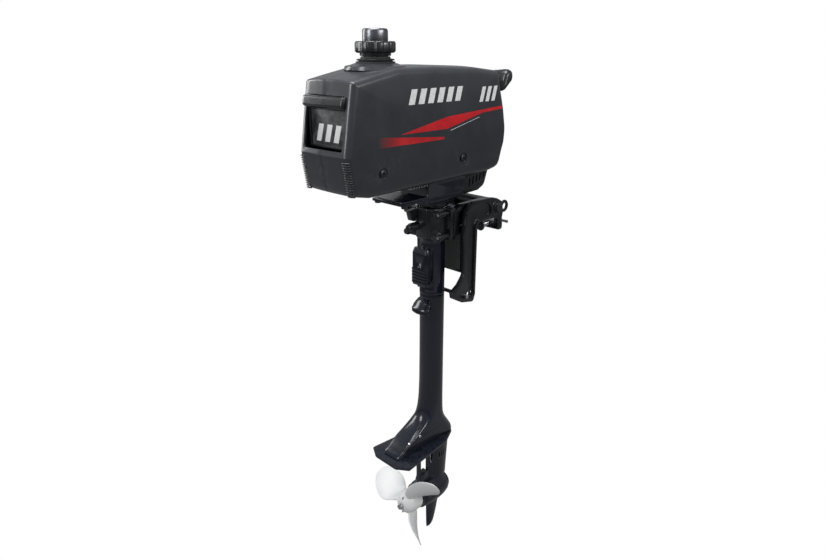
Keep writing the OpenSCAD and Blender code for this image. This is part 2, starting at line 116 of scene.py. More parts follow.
def add_area_light(name, place, target, size, power, colour=(1, 1, 1)):
    """A soft rectangular light that points at a target."""
    data = bpy.data.lights.new(name, "AREA")
    data.shape = "RECTANGLE"
    data.size, data.size_y = size
    data.energy = power
    data.color = colour
    light = bpy.data.objects.new(name, data)
    light.location = place
    light.rotation_euler = (Vector(target) - Vector(place)).to_track_quat("-Z", "Y").to_euler()
    bpy.context.scene.collection.objects.link(light)


def white_when_seen(tree, seen, lit, target):
    """Joins two shaders so that the camera sees the first and the light meets the second."""
    path = tree.nodes.new("ShaderNodeLightPath")
    join = tree.nodes.new("ShaderNodeMixShader")
    tree.links.new(path.outputs["Is Camera Ray"], join.inputs[0])
    tree.links.new(lit, join.inputs[1])
    tree.links.new(seen, join.inputs[2])
    tree.links.new(join.outputs[0], target)


def add_studio():
    """Pale floor and pale surroundings that throw little light back, and soft lights."""
    bpy.ops.mesh.primitive_plane_add(size=60, location=(0, 0, cad_bounds[0][2] - 0.02))
    floor = bpy.context.object
    floor.name = "floor"
    material = bpy.data.materials.new("floor_pale")
    material.use_nodes = True
    tree = material.node_tree
    shader = tree.nodes["Principled BSDF"]
    shader.inputs["Base Color"].default_value = (0.22, 0.22, 0.22, 1)
    shader.inputs["Roughness"].default_value = 0.9
    pale = tree.nodes.new("ShaderNodeEmission")
    pale.inputs[0].default_value = (1, 1, 1, 1)
    white_when_seen(tree, pale.outputs[0], shader.outputs[0], tree.nodes["Material Output"].inputs[0])
    floor.data.materials.append(material)
    world = bpy.data.worlds.new("pale_room")
    world.use_nodes = True
    tree = world.node_tree
    room = tree.nodes["Background"]
    room.inputs[0].default_value = (0.93, 0.96, 1, 1)
    room.inputs[1].default_value = 0.34
    pale = tree.nodes.new("ShaderNodeBackground")
    pale.inputs[0].default_value = (1, 1, 1, 1)
    white_when_seen(tree, pale.outputs[0], room.outputs[0], tree.nodes["World Output"].inputs[0])
    bpy.context.scene.world = world
    bpy.context.scene.view_settings.view_transform = "Standard"
    centre = (-0.08, 0, 0.05)
    add_area_light("overhead", (-0.25, 0.1, 1.7), centre, (1.0, 1.0), 27, (0.97, 0.98, 1))
    add_area_light("aft_fill", (-1.9, 0.3, 0.9), centre, (0.5, 1.3), 17, (0.97, 0.98, 1))
    add_area_light("side_strip", (0.3, -1.9, 1.0), centre, (1.3, 0.4), 20)
    add_area_light("port_rim", (-0.7, 1.7, 0.6), centre, (0.5, 1.2), 12)


# ---------------------------------------------------------------- outlines

def arc(centre, radius, start, end, steps):
    """Points along an arc, with angles in degrees."""
    angles = [radians(start + (end - start) * k / steps) for k in range(steps + 1)]
    return [(centre[0] + radius * cos(a), centre[1] + radius * sin(a)) for a in angles]


def rounded(points, radii, steps=6):
    """A closed outline whose corners are rounded; radii is one number or one for each corner."""
    count = len(points)
    if not isinstance(radii, (list, tuple)):
        radii = [radii] * count
    result = []
    for i in range(count):
        before = Vector(points[i - 1])
        here = Vector(points[i])
        after = Vector(points[(i + 1) % count])
        inward = (before - here).normalized()
        onward = (after - here).normalized()
        half = inward.angle(onward) / 2
        radius = radii[i]
        reach = min(radius / max(tan(half), 1e-4), 0.48 * (before - here).length,
                    0.48 * (after - here).length)
        if radius <= 0 or abs(half - pi / 2) < 0.01:
            result.append(tuple(here))
            continue
        first, last = here + inward * reach, here + onward * reach
        for k in range(steps + 1):
            t = k / steps
            point = first * (1 - t) ** 2 + here * 2 * t * (1 - t) + last * t ** 2
            result.append(tuple(point))
    return result


def inset(points, distance):
    """A closed outline moved inward by a distance, whichever way round it runs."""
    count = len(points)
    area = sum(points[i - 1][0] * points[i][1] - points[i][0] * points[i - 1][1] for i in range(count))
    turn = 1 if area > 0 else -1
    result = []
    for i in range(count):
        here = Vector(points[i])
        a = (here - Vector(points[i - 1])).normalized()
        b = (Vector(points[(i + 1) % count]) - here).normalized()
        normal_a, normal_b = Vector((-a.y, a.x)), Vector((-b.y, b.x))
        mitre = (normal_a + normal_b)
        mitre = mitre / max(mitre.dot(mitre) / 2, 0.4)
        result.append(tuple(here + mitre * distance * turn))
    return result


class Solid:
    """One or more closed shells, in millimetres."""

    def __init__(self):
        self.shells = []

    def add(self, points, faces):
        self.shells.append(([Vector(p) for p in points], faces))
        return self

    def loft(self, rings, closed=False, caps=True):
        """Skin through rings of equally many points; closed joins the last ring to the first."""
        count = len(rings[0])
        points = [p for ring in rings for p in ring]
        faces = []
        spans = len(rings) if closed else len(rings) - 1
        for r in range(spans):
            a, b = r * count, ((r + 1) % len(rings)) * count
            for i in range(count):
                j = (i + 1) % count
                faces.append([a + i, a + j, b + j, b + i])
        if caps and not closed:
            faces.append(list(range(count))[::-1])
            faces.append([(len(rings) - 1) * count + i for i in range(count)])
        return self.add(points, faces)

    def prism(self, outline, axis, low, high):
        """A flat outline pushed along an axis from low to high."""
        return self.loft([[place(p[0], p[1], h, axis) for p in outline] for h in (low, high)])

    def lathe(self, profile, axis, centre, segments=48, ring=False):
        """(radius, height) pairs turned about an axis through a centre; ring closes the profile."""
        rings = []
        for radius, height in profile:
            radius = max(radius, 0.01)
            rings.append([
                place(radius * cos(2 * pi * k / segments), radius * sin(2 * pi * k / segments), height,
                      axis)
                for k in range(segments)
            ])
        rings = [[Vector(p) + Vector(centre) for p in row] for row in rings]
        return self.loft(rings, closed=ring)

    def bar(self, radius, axis, low, high, across, segments=32, chamfer=0.6):
        """A round bar with chamfered ends; across gives its two other coordinates."""
        c = min(chamfer, radius * 0.5, (high - low) * 0.4)
        profile = [(radius - c, low), (radius, low + c), (radius, high - c), (radius - c, high)]
        return self.lathe(profile, axis, place(across[0], across[1], 0, axis), segments)

    def block(self, low, high, corner=0):
        """A box between two corners, with rounded upright edges if a corner radius is given."""
        outline = [(low[0], low[1]), (high[0], low[1]), (high[0], high[1]), (low[0], high[1])]
        if corner:
            outline = rounded(outline, corner, 4)
        return self.prism(outline, "Z", low[2], high[2])


def place(a, b, h, axis):
    """A point from two coordinates across an axis, in X, Y, Z order, and one along it."""
    if axis == "X":
        return Vector((h, a, b))
    if axis == "Y":
        return Vector((a, h, b))
    return Vector((a, b, h))


def shell_object(name, shells):
    """A Blender object, in metres, from closed shells in millimetres that keep clear of each other."""
    work = bmesh.new()
    for points, faces in shells:
        corners = [work.verts.new(p * MM) for p in points]
        for face in faces:
            work.faces.new([corners[i] for i in face])
    bmesh.ops.remove_doubles(work, verts=work.verts, dist=1e-6)
    bmesh.ops.recalc_face_normals(work, faces=work.faces)
    mesh = bpy.data.meshes.new(name)
    work.to_mesh(mesh)
    work.free()
    thing = bpy.data.objects.new(name, mesh)
    bpy.context.scene.collection.objects.link(thing)
    return thing


def shell_box(shell):
    """Lowest and highest corner of a shell."""
    points = shell[0]
    return [min(p[i] for p in points) for i in range(3)], [max(p[i] for p in points) for i in range(3)]


def apart(shell, others):
    """True if a shell's box keeps clear of the boxes of all the others."""
    low, high = shell_box(shell)
    for other in others:
        other_low, other_high = shell_box(other)
        if all(low[i] <= other_high[i] and other_low[i] <= high[i] for i in range(3)):
            return False
    return True


def layers(shells):
    """Shells sorted into groups whose members keep clear of each other."""
    groups = []
    for shell in shells:
        for group in groups:
            if apart(shell, group):
                group.append(shell)
                break
        else:
            groups.append([shell])
    return groups


def make_object(name, solid):
    """A Blender object, in metres, from a solid in millimetres whose shells are united."""
    groups = layers(solid.shells)
    thing = shell_object(name, groups[0])
    for group in groups[1:]:
        change_by(thing, shell_object("adder", group), "UNION")
    return thing


def apply_modifiers(thing):
    """Turns a piece's modifiers into mesh."""
    bpy.context.view_layer.update()
    graph = bpy.context.evaluated_depsgraph_get()
    mesh = bpy.data.meshes.new_from_object(thing.evaluated_get(graph))
    thing.modifiers.clear()
    thing.data = mesh


def change_by(thing, tool, operation):
    """Changes a piece by a closed tool, which is used up."""
    change = thing.modifiers.new("change", "BOOLEAN")
    change.operation = operation
    change.solver = "EXACT"
    change.object = tool
    apply_modifiers(thing)
    bpy.data.objects.remove(tool)


def carve(thing, *solids, operation="DIFFERENCE"):
    """Takes solids out of a piece, or keeps only what they share with it, or adds them."""
    shells = [shell for solid in solids for shell in solid.shells]
    for group in layers(shells):
        change_by(thing, shell_object("tool", group), operation)


def finish_piece(thing, body, slot, material, nodes=(), bevel=0.8, segments=2, sharp=32, level=0):
    """Rounds a piece's edges, shades it, gives it its material and hangs it on its body."""
    mesh = thing.data
    mesh.materials.clear()
    mesh.materials.append(material)
    if bevel:
        rounding = thing.modifiers.new("edges", "BEVEL")
        rounding.width = bevel * MM
        rounding.segments = segments
        rounding.limit_method = "ANGLE"
        rounding.angle_limit = radians(sharp)
        rounding.use_clamp_overlap = True
        apply_modifiers(thing)
    for polygon in thing.data.polygons:
        polygon.use_smooth = True
    thing.data.set_sharp_from_angle(angle=radians(38))
    if level:
        finer = thing.modifiers.new("finer", "SUBSURF")
        finer.levels = finer.render_levels = level
    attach(thing, body)
    if nodes:
        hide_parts(*nodes)
    return thing


def piece(name, solid, body, slot, material, nodes=(), cuts=(), **looks):
    """A finished piece from a solid and the solids cut out of it."""
    thing = make_object(name, solid)
    carve(thing, *cuts)
    return finish_piece(thing, body, slot, material, nodes, **looks)


# ---------------------------------------------------------------- materials

class Nodes:
    """Short calls for building a material's node tree."""

    def __init__(self, name):
        self.material = bpy.data.materials.new(name)
        self.material.use_nodes = True
        self.tree = self.material.node_tree
        self.shader = self.tree.nodes["Principled BSDF"]
        self.coordinates = self.tree.nodes.new("ShaderNodeTexCoord").outputs["Object"]

    def link(self, value, socket):
        if isinstance(value, bpy.types.NodeSocket):
            self.tree.links.new(value, socket)
        else:
            socket.default_value = value

    def math(self, operation, a, b=0.0, clamp=False):
        node = self.tree.nodes.new("ShaderNodeMath")
        node.operation = operation
        node.use_clamp = clamp
        self.link(a, node.inputs[0])
        self.link(b, node.inputs[1])
        return node.outputs[0]

    def noise(self, scale, detail=4.0, roughness=0.5, stretch=(1, 1, 1)):
        mapping = self.tree.nodes.new("ShaderNodeMapping")
        mapping.inputs["Scale"].default_value = stretch
        self.tree.links.new(self.coordinates, mapping.inputs["Vector"])
        node = self.tree.nodes.new("ShaderNodeTexNoise")
        self.tree.links.new(mapping.outputs[0], node.inputs["Vector"])
        node.inputs["Scale"].default_value = scale
        node.inputs["Detail"].default_value = detail
        node.inputs["Roughness"].default_value = roughness
        return node.outputs["Fac"]

    def span(self, value, low, high, to_low=0.0, to_high=1.0):
        node = self.tree.nodes.new("ShaderNodeMapRange")
        self.link(value, node.inputs["Value"])
        node.inputs["From Min"].default_value = low
        node.inputs["From Max"].default_value = high
        node.inputs["To Min"].default_value = to_low
        node.inputs["To Max"].default_value = to_high
        return node.outputs[0]

    def mix(self, share, a, b):
        node = self.tree.nodes.new("ShaderNodeMix")
        node.data_type = "RGBA"
        self.link(share, node.inputs[0])
        self.link(a if isinstance(a, bpy.types.NodeSocket) else (*a, 1), node.inputs[6])
        self.link(b if isinstance(b, bpy.types.NodeSocket) else (*b, 1), node.inputs[7])
        return node.outputs[2]

    def bump(self, height, strength, distance=0.0005, onto=None):
        node = self.tree.nodes.new("ShaderNodeBump")
        node.inputs["Strength"].default_value = strength
        node.inputs["Distance"].default_value = distance
        self.link(height, node.inputs["Height"])
        if onto is not None:
            self.tree.links.new(onto, node.inputs["Normal"])
        self.tree.links.new(node.outputs[0], self.shader.inputs["Normal"])
        return node.outputs[0]

    def edges(self):
        """1 along worn outer edges and 0 elsewhere."""
        geometry = self.tree.nodes.new("ShaderNodeNewGeometry")
        return self.span(geometry.outputs["Pointiness"], 0.53, 0.6)

    def set(self, **values):
        for key, value in values.items():
            self.link(value, self.shader.inputs[key.replace("_", " ")])


def varied_paint(name, colour, rough, coat=0.0, grain=900, grain_bump=0.06, wear=0.25, worn=None,
                 metal=0.0):
    """Painted or moulded surface: mottled colour, uneven gloss, fine grain and rubbed edges."""
    n = Nodes(name)
    darker = tuple(c * 0.72 for c in colour)
    lighter = tuple(min(c * 1.3 + 0.002, 1) for c in colour)
    worn = worn or tuple(min(c * 2.4 + 0.03, 1) for c in colour)
    base = n.mix(n.span(n.noise(14, 5), 0.35, 0.65), darker, lighter)
    rubbed = n.math("MULTIPLY", n.edges(), n.span(n.noise(160, 3), 0.42, 0.62))
    base = n.mix(n.math("MULTIPLY", rubbed, wear), base, worn)
    n.set(Base_Color=base, Metallic=metal)
    n.set(Roughness=n.span(n.noise(45, 6, 0.65), 0.3, 0.7, rough * 0.8, rough * 1.3))
    n.set(Coat_Weight=coat, Coat_Roughness=0.08)
    n.bump(n.noise(grain, 2), grain_bump)
    return n.material


def metal_finish(name, colour, rough, brushed=(1, 1, 1), stain=(0.12, 0.1, 0.08)):
    """Bare or plated metal with fine brushing and faint stains."""
    n = Nodes(name)
    base = n.mix(n.span(n.noise(60, 6), 0.45, 0.72, 0.0, 0.45), colour, tuple(c * 0.6 for c in colour))
    base = n.mix(n.span(n.noise(9, 5), 0.6, 0.8, 0.0, 0.3), base, stain)
    n.set(Base_Color=base, Metallic=1.0)
    n.set(Roughness=n.span(n.noise(300, 3, 0.6, brushed), 0.3, 0.7, rough * 0.75, rough * 1.35))
    n.bump(n.noise(700, 2, 0.5, brushed), 0.08, 0.0003)
    return n.material


def line_height(n, x, first, last):
    """Height at x of the straight line through two (x, z) points in millimetres."""
    slope = (last[1] - first[1]) / (last[0] - first[0])
    offset = (first[1] - slope * first[0]) * MM
    return n.math("ADD", n.math("MULTIPLY", x, slope), offset)


def above(n, z, height):
    """1 where z is above a height, with a soft step a fraction of a millimetre wide."""
    return n.math("MULTIPLY", n.math("SUBTRACT", z, height), 4000, clamp=True)


def all_of(n, parts):
    result = parts[0]
    for part in parts[1:]:
        result = n.math("MULTIPLY", result, part)
    return result


def inverse(n, value):
    return n.math("SUBTRACT", 1.0, value)


def slanted_bars(n, x, z, x_low, x_high, z_low, z_high, pitch, share):
    """A row of plain slanted bars, in millimetres."""
    lean = 0.32
    along = n.math("SUBTRACT", x, n.math("MULTIPLY", n.math("SUBTRACT", z, z_low * MM), lean))
    turns = n.math("DIVIDE", n.math("SUBTRACT", along, x_low * MM), pitch * MM)
    part = n.math("FRACT", turns)
    inside = n.math("MULTIPLY", n.math("SUBTRACT", share, part), pitch * 3, clamp=True)
    return all_of(n, [
        inside,
        above(n, along, x_low * MM), inverse(n, above(n, along, x_high * MM)),
        above(n, z, z_low * MM), inverse(n, above(n, z, z_high * MM)),
    ])


def cowl_material():
    """Charcoal plastic darkened towards the bottom by painted shade, with plain tapered red stripes and
    pale bars on both sides.
    """
    n = Nodes("cowl_charcoal")
    split = n.tree.nodes.new("ShaderNodeSeparateXYZ")
    n.tree.links.new(n.coordinates, split.inputs[0])
    x, y, z = split.outputs
    side = above(n, n.math("ABSOLUTE", y), 0.0525)
    base = n.mix(n.span(n.noise(10, 5), 0.35, 0.65), (0.026, 0.028, 0.033), (0.035, 0.038, 0.044))
    # painted shade: the charcoal darkens towards the bottom of the cowl, standing in for the shade under
    # the overhead light
    base = n.mix(n.span(z, 0.09, 0.25, 0.32, 0.0), base, (0.010, 0.012, 0.016))
    base = n.mix(n.math("MULTIPLY", n.edges(), n.span(n.noise(140, 3), 0.45, 0.65, 0.0, 0.1)), base,
                 (0.16, 0.165, 0.175))

    # upper stripe: a long wedge that opens towards the front and narrows again
    top = n.math("MINIMUM", line_height(n, x, (-182, 163), (-83, 181)),
                 line_height(n, x, (-83, 181), (60, 189)))
    bottom = n.math("MAXIMUM", 0.163, line_height(n, x, (-82, 163), (3, 181)))
    bottom = n.math("MINIMUM", bottom, line_height(n, x, (3, 181), (60, 184)))
    upper = all_of(n, [side, above(n, z, bottom), inverse(n, above(n, z, top)),
                       inverse(n, above(n, x, 0.056))])
    # lower stripe: runs the other way and fades out aft
    top = line_height(n, x, (-214, 162), (-88, 151.5))
    bottom = n.math("MINIMUM", line_height(n, x, (-217, 152), (-175, 148.5)),
                    line_height(n, x, (-175, 148.5), (-88, 151)))
    bottom = n.math("MAXIMUM", bottom, 0.148)
    lower = all_of(n, [
        side, above(n, z, bottom), inverse(n, above(n, z, top)), n.span(x, -0.225, -0.180),
        inverse(n, above(n, x, -0.089)),
    ])
    red = n.mix(n.span(n.noise(30, 4), 0.4, 0.6), (0.50, 0.008, 0.012), (0.66, 0.012, 0.018))
    base = n.mix(n.math("MAXIMUM", upper, n.math("MULTIPLY", lower, 0.85)), base, red)
    # hairline under the upper stripe, and plain bars in place of lettering
    under = n.math("SUBTRACT", line_height(n, x, (-82, 163), (3, 181)), 0.004)
    hair = all_of(n, [
        side, inverse(n, above(n, z, under)), above(n, z, n.math("SUBTRACT", under, 0.0011)),
        above(n, x, -0.075), inverse(n, above(n, x, -0.005)),
    ])
    bars = n.math("MAXIMUM", slanted_bars(n, x, z, -166, -47, 203, 224, 20, 0.62),
                  slanted_bars(n, x, z, -6, 37, 198, 221, 15.5, 0.6))
    pale = n.math("MAXIMUM", n.math("MULTIPLY", bars, side), n.math("MULTIPLY", hair, 0.6))
    scuffed = n.span(n.noise(220, 4), 0.3, 0.5, 0.78, 0.97)
    base = n.mix(n.math("MULTIPLY", pale, scuffed), base, (0.90, 0.90, 0.89))
    n.set(Base_Color=base, Coat_Weight=0.35, Coat_Roughness=0.12)
    n.set(Roughness=n.span(n.noise(38, 6, 0.65), 0.3, 0.7, 0.27, 0.42))
    fine = n.bump(n.noise(1100, 2), 0.05, 0.0002)
    n.bump(n.noise(22, 2), 0.10, 0.002, onto=fine)
    return n.material


def panel_material():
    """Recessed dark panel with a brushed, blotchy film and plain pale bars."""
    n = Nodes("aft_panel_film")
    split = n.tree.nodes.new("ShaderNodeSeparateXYZ")
    n.tree.links.new(n.coordinates, split.inputs[0])
    _, y, z = split.outputs
    base = n.mix(n.span(n.noise(75, 6, 0.6), 0.4, 0.65), (0.020, 0.021, 0.023), (0.085, 0.087, 0.09))
    mirrored = n.math("MULTIPLY", y, -1.0)
    bars = slanted_bars(n, mirrored, z, -30, 24, 156, 180, 19, 0.58)
    base = n.mix(bars, base, (0.86, 0.86, 0.85))
    n.set(Base_Color=base, Roughness=n.span(n.noise(50, 5), 0.3, 0.7, 0.3, 0.5), Coat_Weight=0.3)
    n.bump(n.noise(900, 2), 0.1, 0.0003)
    return n.material


def nylon_material():
    """White moulded nylon, a little translucent, with faint flow marks and scuffs."""
    n = Nodes("white_nylon")
    base = n.mix(n.span(n.noise(18, 4), 0.35, 0.65), (0.80, 0.81, 0.80), (0.88, 0.885, 0.87))
    base = n.mix(n.math("MULTIPLY", n.edges(), 0.25), base, (0.93, 0.93, 0.92))
    base = n.mix(n.span(n.noise(140, 6, 0.7), 0.62, 0.75, 0.0, 0.18), base, (0.45, 0.45, 0.43))
    n.set(Base_Color=base, Roughness=n.span(n.noise(60, 5), 0.3, 0.7, 0.28, 0.45))
    n.set(Subsurface_Weight=0.15, Subsurface_Radius=(0.004, 0.004, 0.003), Subsurface_Scale=0.5)
    n.bump(n.noise(350, 3), 0.06, 0.0003)
    return n.material


M = {
    "bracket_black": varied_paint("bracket_black", (0.006, 0.007, 0.009), 0.26, coat=0.35, grain=420,
                                  grain_bump=0.12),
    "leg_black": varied_paint("leg_black", (0.003, 0.005, 0.012), 0.2, coat=0.35, grain=300,
                              grain_bump=0.08),
    "steel": metal_finish("steel", (0.52, 0.53, 0.55), 0.3, (1, 1, 6)),
    "dark_fasteners": varied_paint("dark_fasteners", (0.03, 0.032, 0.036), 0.36, wear=0.6, metal=0.5),
    "bright_screws": metal_finish("bright_screws", (0.78, 0.79, 0.8), 0.18),
    "cowl_charcoal": cowl_material(),
    "trim_black": varied_paint("trim_black", (0.008, 0.009, 0.011), 0.3, coat=0.4, grain=1300,
                               grain_bump=0.16),
    "panel_grey": panel_material(),
    "rubber": varied_paint("rubber", (0.016, 0.016, 0.017), 0.6, grain=1600, grain_bump=0.2, wear=0.1),
    "vent_metal": metal_finish("vent_metal", (0.17, 0.175, 0.185), 0.3, (1, 1, 8)),
    "natural_plastic": varied_paint("natural_plastic", (0.66, 0.64, 0.56), 0.5, wear=0.1),
    "alloy": metal_finish("alloy", (0.42, 0.43, 0.44), 0.45),
    "ceramic": varied_paint("ceramic", (0.8, 0.8, 0.78), 0.2, coat=0.5, wear=0.05),
    "prop_white": nylon_material(),
    "stop_red": varied_paint("stop_red", (0.45, 0.015, 0.012), 0.35, wear=0.2),
}


def make(name, solid, body, slot, nodes=(), cuts=(), **looks):
    """A finished piece whose material is the one of its slot."""
    return piece(name, solid, body, slot, M[slot], nodes, cuts, **looks)


# ---------------------------------------------------------------- cowl

COWL_CORNERS = [
    ((-267, 240), 5), ((-275, 190), 60), ((-283, 140), 4), ((-274, 86), 12), ((-238, 79.5), 10),
    ((29, 83), 12), ((60, 88), 20), ((75, 128), 40), ((77, 150), 60), ((69, 186), 60), ((46, 246), 7),
    ((-8, 252), 60), ((-100, 255.5), 60), ((-184, 255.5), 16),
]
cowl_half = cowl_high.y
COWL_ROUND = 9.0
COWL_CROWN = 2.0
COWL_WALL = 3.0
COWL_SCREWS = [(-217, 112), (-42, 113.75)]
SEAM = 0.5


def cowl_outline(drawn_in):
    """The cowl's outline drawn in by a distance, always with the same number of points."""
    corners = [c[0] for c in COWL_CORNERS]
    radii = [c[1] for c in COWL_CORNERS]
    base = rounded(corners, radii, 7)
    shape = rounded(inset(corners, drawn_in), [max(r - drawn_in, 1.5) for r in radii], 7)
    result = []
    for i, here in enumerate(shape):
        after = shape[(i + 1) % len(shape)]
        old, new = base[i], base[(i + 1) % len(base)]
        parts = max(1, ceil(hypot(new[0] - old[0], new[1] - old[1]) / 9))
        for k in range(parts):
            t = k / parts
            result.append((here[0] + (after[0] - here[0]) * t, here[1] + (after[1] - here[1]) * t))
    return result


def cowl_solid(shrink, side, start):
    """One half of the pillow-shaped cowl, drawn in by a distance, from near the middle to its side."""
    outline = cowl_outline(shrink)
    half = cowl_half - shrink
    radius = COWL_ROUND - shrink * 0.6
    flat = half - COWL_CROWN - radius
    middle_x = sum(p[0] for p in outline) / len(outline)
    middle_z = sum(p[1] for p in outline) / len(outline)

    def ring(y, drawn_in):
        row = []
        for x, z in cowl_outline(shrink + drawn_in):
            bend = (y / half) ** 2
            if z > 200:
                z -= 3.0 * bend * min(1, (z - 200) / 40)
            if x > 40:
                x -= 5.0 * bend * min(1, (x - 40) / 25)
            if x < -240:
                x += 3.0 * bend * min(1, (-240 - x) / 20)
            row.append((x, side * y, z))
        return row

    rings = [ring(start + (flat - start) * k / 5, 0) for k in range(5)]
    for k in range(7):
        turn = pi / 2 * k / 6
        rings.append(ring(flat + radius * sin(turn), radius * (1 - cos(turn))))
    edge = rings[-1]
    for share in (0.94, 0.86, 0.74, 0.58, 0.4, 0.2, 0.04):
        bulge = side * COWL_CROWN * (1 - share ** 2)
        rings.append([
            (middle_x + (x - middle_x) * share, y + bulge, middle_z + (z - middle_z) * share)
            for x, y, z in edge
        ])
    return Solid().loft(rings)


def window_cutter(depth_x, grow=0.0):
    """Rounded opening in the aft face for the handle and the panel."""
    outline = rounded([(-42 - grow, 147 - grow), (42 + grow, 147 - grow),
                       (42 + grow, 219.5 + grow), (-42 - grow, 219.5 + grow)], 5 + grow, 5)
    return Solid().prism(outline, "X", -300, depth_x)


def cowl_pieces():
    """Both halves of the cowl: thin shells with a seam between them and every opening cut."""
    flare = Solid().lathe(
        [(24, 250), (24, 259.5), (27, 259.5), (31, 258.4), (36, 256.6), (44, 255), (46, 250)],
        "Z", (cap_x, 0, 0), 64, ring=True)
    cuts = [
        Solid().lathe([(24, 230), (24, 275)], "Z", (cap_x, 0, 0)),
        window_cutter(-262),
        Solid().prism(rounded([(-180, -40), (70, -40), (70, 40), (-180, 40)], 8), "Z", 60, 85.5),
        Solid().block((36, -6, 222), (95, 6, 237), 0),
        Solid().bar(6.3, "X", 50, 95, (28, 165), chamfer=0),
        Solid().bar(7.3, "X", 50, 95, (-28, 150), chamfer=0),
        Solid().block((50, 27, 98), (95, 37, 134), 0),
        Solid().bar(6.3, "Y", 40, 60, (-90, 130), chamfer=0),
    ]
    for x, z in COWL_SCREWS:
        cuts.append(Solid().lathe([(2.9, 40), (2.9, 53.2), (8.8, 53.4), (10.0, 58)], "Y", (x, 0, z), 32))
        cuts.append(Solid().lathe([(10.0, -58), (8.8, -53.4), (2.9, -53.2), (2.9, -40)], "Y", (x, 0, z),
                                  32))
    for side, name in ((-1, "starboard"), (1, "port")):
        half = make_object(f"cowl_shell_{name}", cowl_solid(0, side, SEAM / 2))
        carve(half, cowl_solid(COWL_WALL, side, -4))
        carve(half, flare, operation="UNION")
        low, high = sorted((side * SEAM / 2, -side * 60))
        carve(half, Solid().block((-240, low, 235), (-110, high, 280)))
        carve(half, *cuts)
        finish_piece(half, "motor", "cowl_charcoal", M["cowl_charcoal"], (f"cowl_{name}",),
                     bevel=0.55, segments=2, sharp=42)
    cowl_ribs()


def cowl_ribs():
    """Fine grip ribs down the corners of the lower aft face."""
    for side, name in ((-1, "starboard"), (1, "port")):
        ribs = Solid()
        for k in range(15):
            z = 134 - 3.4 * k
            share = (140 - z) / (140 - 86)
            x = -282.4 + 9.0 * share
            narrow = 4 * share
            rows = []
            for y, back in ((41 + narrow * 0.2, 1.3), (45, 0.5), (50, 1.1), (53.2, 3.3)):
                rows.append([(x + back - 0.9, side * y, z + 0.1), (x + back + 2.4, side * y, z + 1.1),
                             (x + back + 2.4, side * y, z - 1.1), (x + back - 0.9, side * y, z - 0.5)])
            ribs.loft(rows)
        make(f"cowl_ribs_{name}", ribs, "motor", "cowl_charcoal", bevel=0.3, segments=1)


def aft_window():
    """Carrying handle across the top of the window, and the panel below it."""
    low, high = limits("carry_handle")
    outline = rounded([(-279, 206), (-276.5, 218), (-267, 219.5), (-262.5, 210), (-266, 203),
                       (-274, 202.5)],
                      [4, 4, 3, 2, 2, 4], 4)
    rows = []
    for y, swell in ((-42, 0.0), (-38, 0.6), (-20, 1.0), (0, 1.2), (20, 1.0), (38, 0.6), (42, 0.0)):
        rows.append([(x - swell * 0.8, y, z - 0.3 * swell) for x, z in outline])
    make("carrying_handle", Solid().loft(rows), "motor", "trim_black", ("carry_handle",), bevel=0.4)
    panel = Solid()
    outline = rounded([(-42, 147.5), (42, 147.5), (42, 203), (-42, 203)], 4, 4)
    panel.prism(outline, "X", -266, -263)
    frame_outline = rounded([(-41.8, 147.6), (41.8, 147.6), (41.8, 203), (-41.8, 203)], 4, 4)
    hole = Solid().prism(inset(frame_outline, 3.0), "X", -280, -250)
    make("aft_panel_film", panel, "motor", "panel_grey", ("aft_panel",), bevel=0.4)
    make("aft_panel_frame", Solid().prism(frame_outline, "X", -268.5, -265.5), "motor", "trim_black",
         cuts=[hole], bevel=0.6)


def cowl_screw_heads():
    """Dished screws in the cowl's four recesses."""
    heads = Solid()
    slots = []
    for x, z in COWL_SCREWS:
        for side in (-1, 1):
            profile = [(2.8, 42), (2.8, 54.0), (5.2, 54.2), (5.6, 55.2), (5.0, 56.2), (3.4, 56.8)]
            if side < 0:
                profile = [(r, -h) for r, h in profile[::-1]]
            heads.lathe(profile, "Y", (x, 0, z), 32)
            slots.append(Solid().block((x - 3.4, side * 56.2 - 1.0, z - 0.7),
                                       (x + 3.4, side * 56.2 + 1.2, z + 0.7)))
            slots.append(Solid().block((x - 0.7, side * 56.2 - 1.0, z - 3.4),
                                       (x + 0.7, side * 56.2 + 1.2, z + 3.4)))
    make("cowl_screw_heads", heads, "motor", "dark_fasteners", ("cowl_screws",), slots, bevel=0.25)


# ---------------------------------------------------------------- fuel neck and cap

def lobed(radius, depth, lobes, points_each, share=0.62):
    """Outline with raised lobes and rounded shoulders."""
    result = []
    total = lobes * points_each
    for k in range(total):
        phase = (k % points_each) / points_each
        edge = min(phase, share - phase) if phase < share else -1
        lift = max(0.0, min(1.0, edge * 9)) if edge >= 0 else 0.0
        r = radius + depth * lift
        a = 2 * pi * k / total
        result.append((r * cos(a), r * sin(a)))
    return result


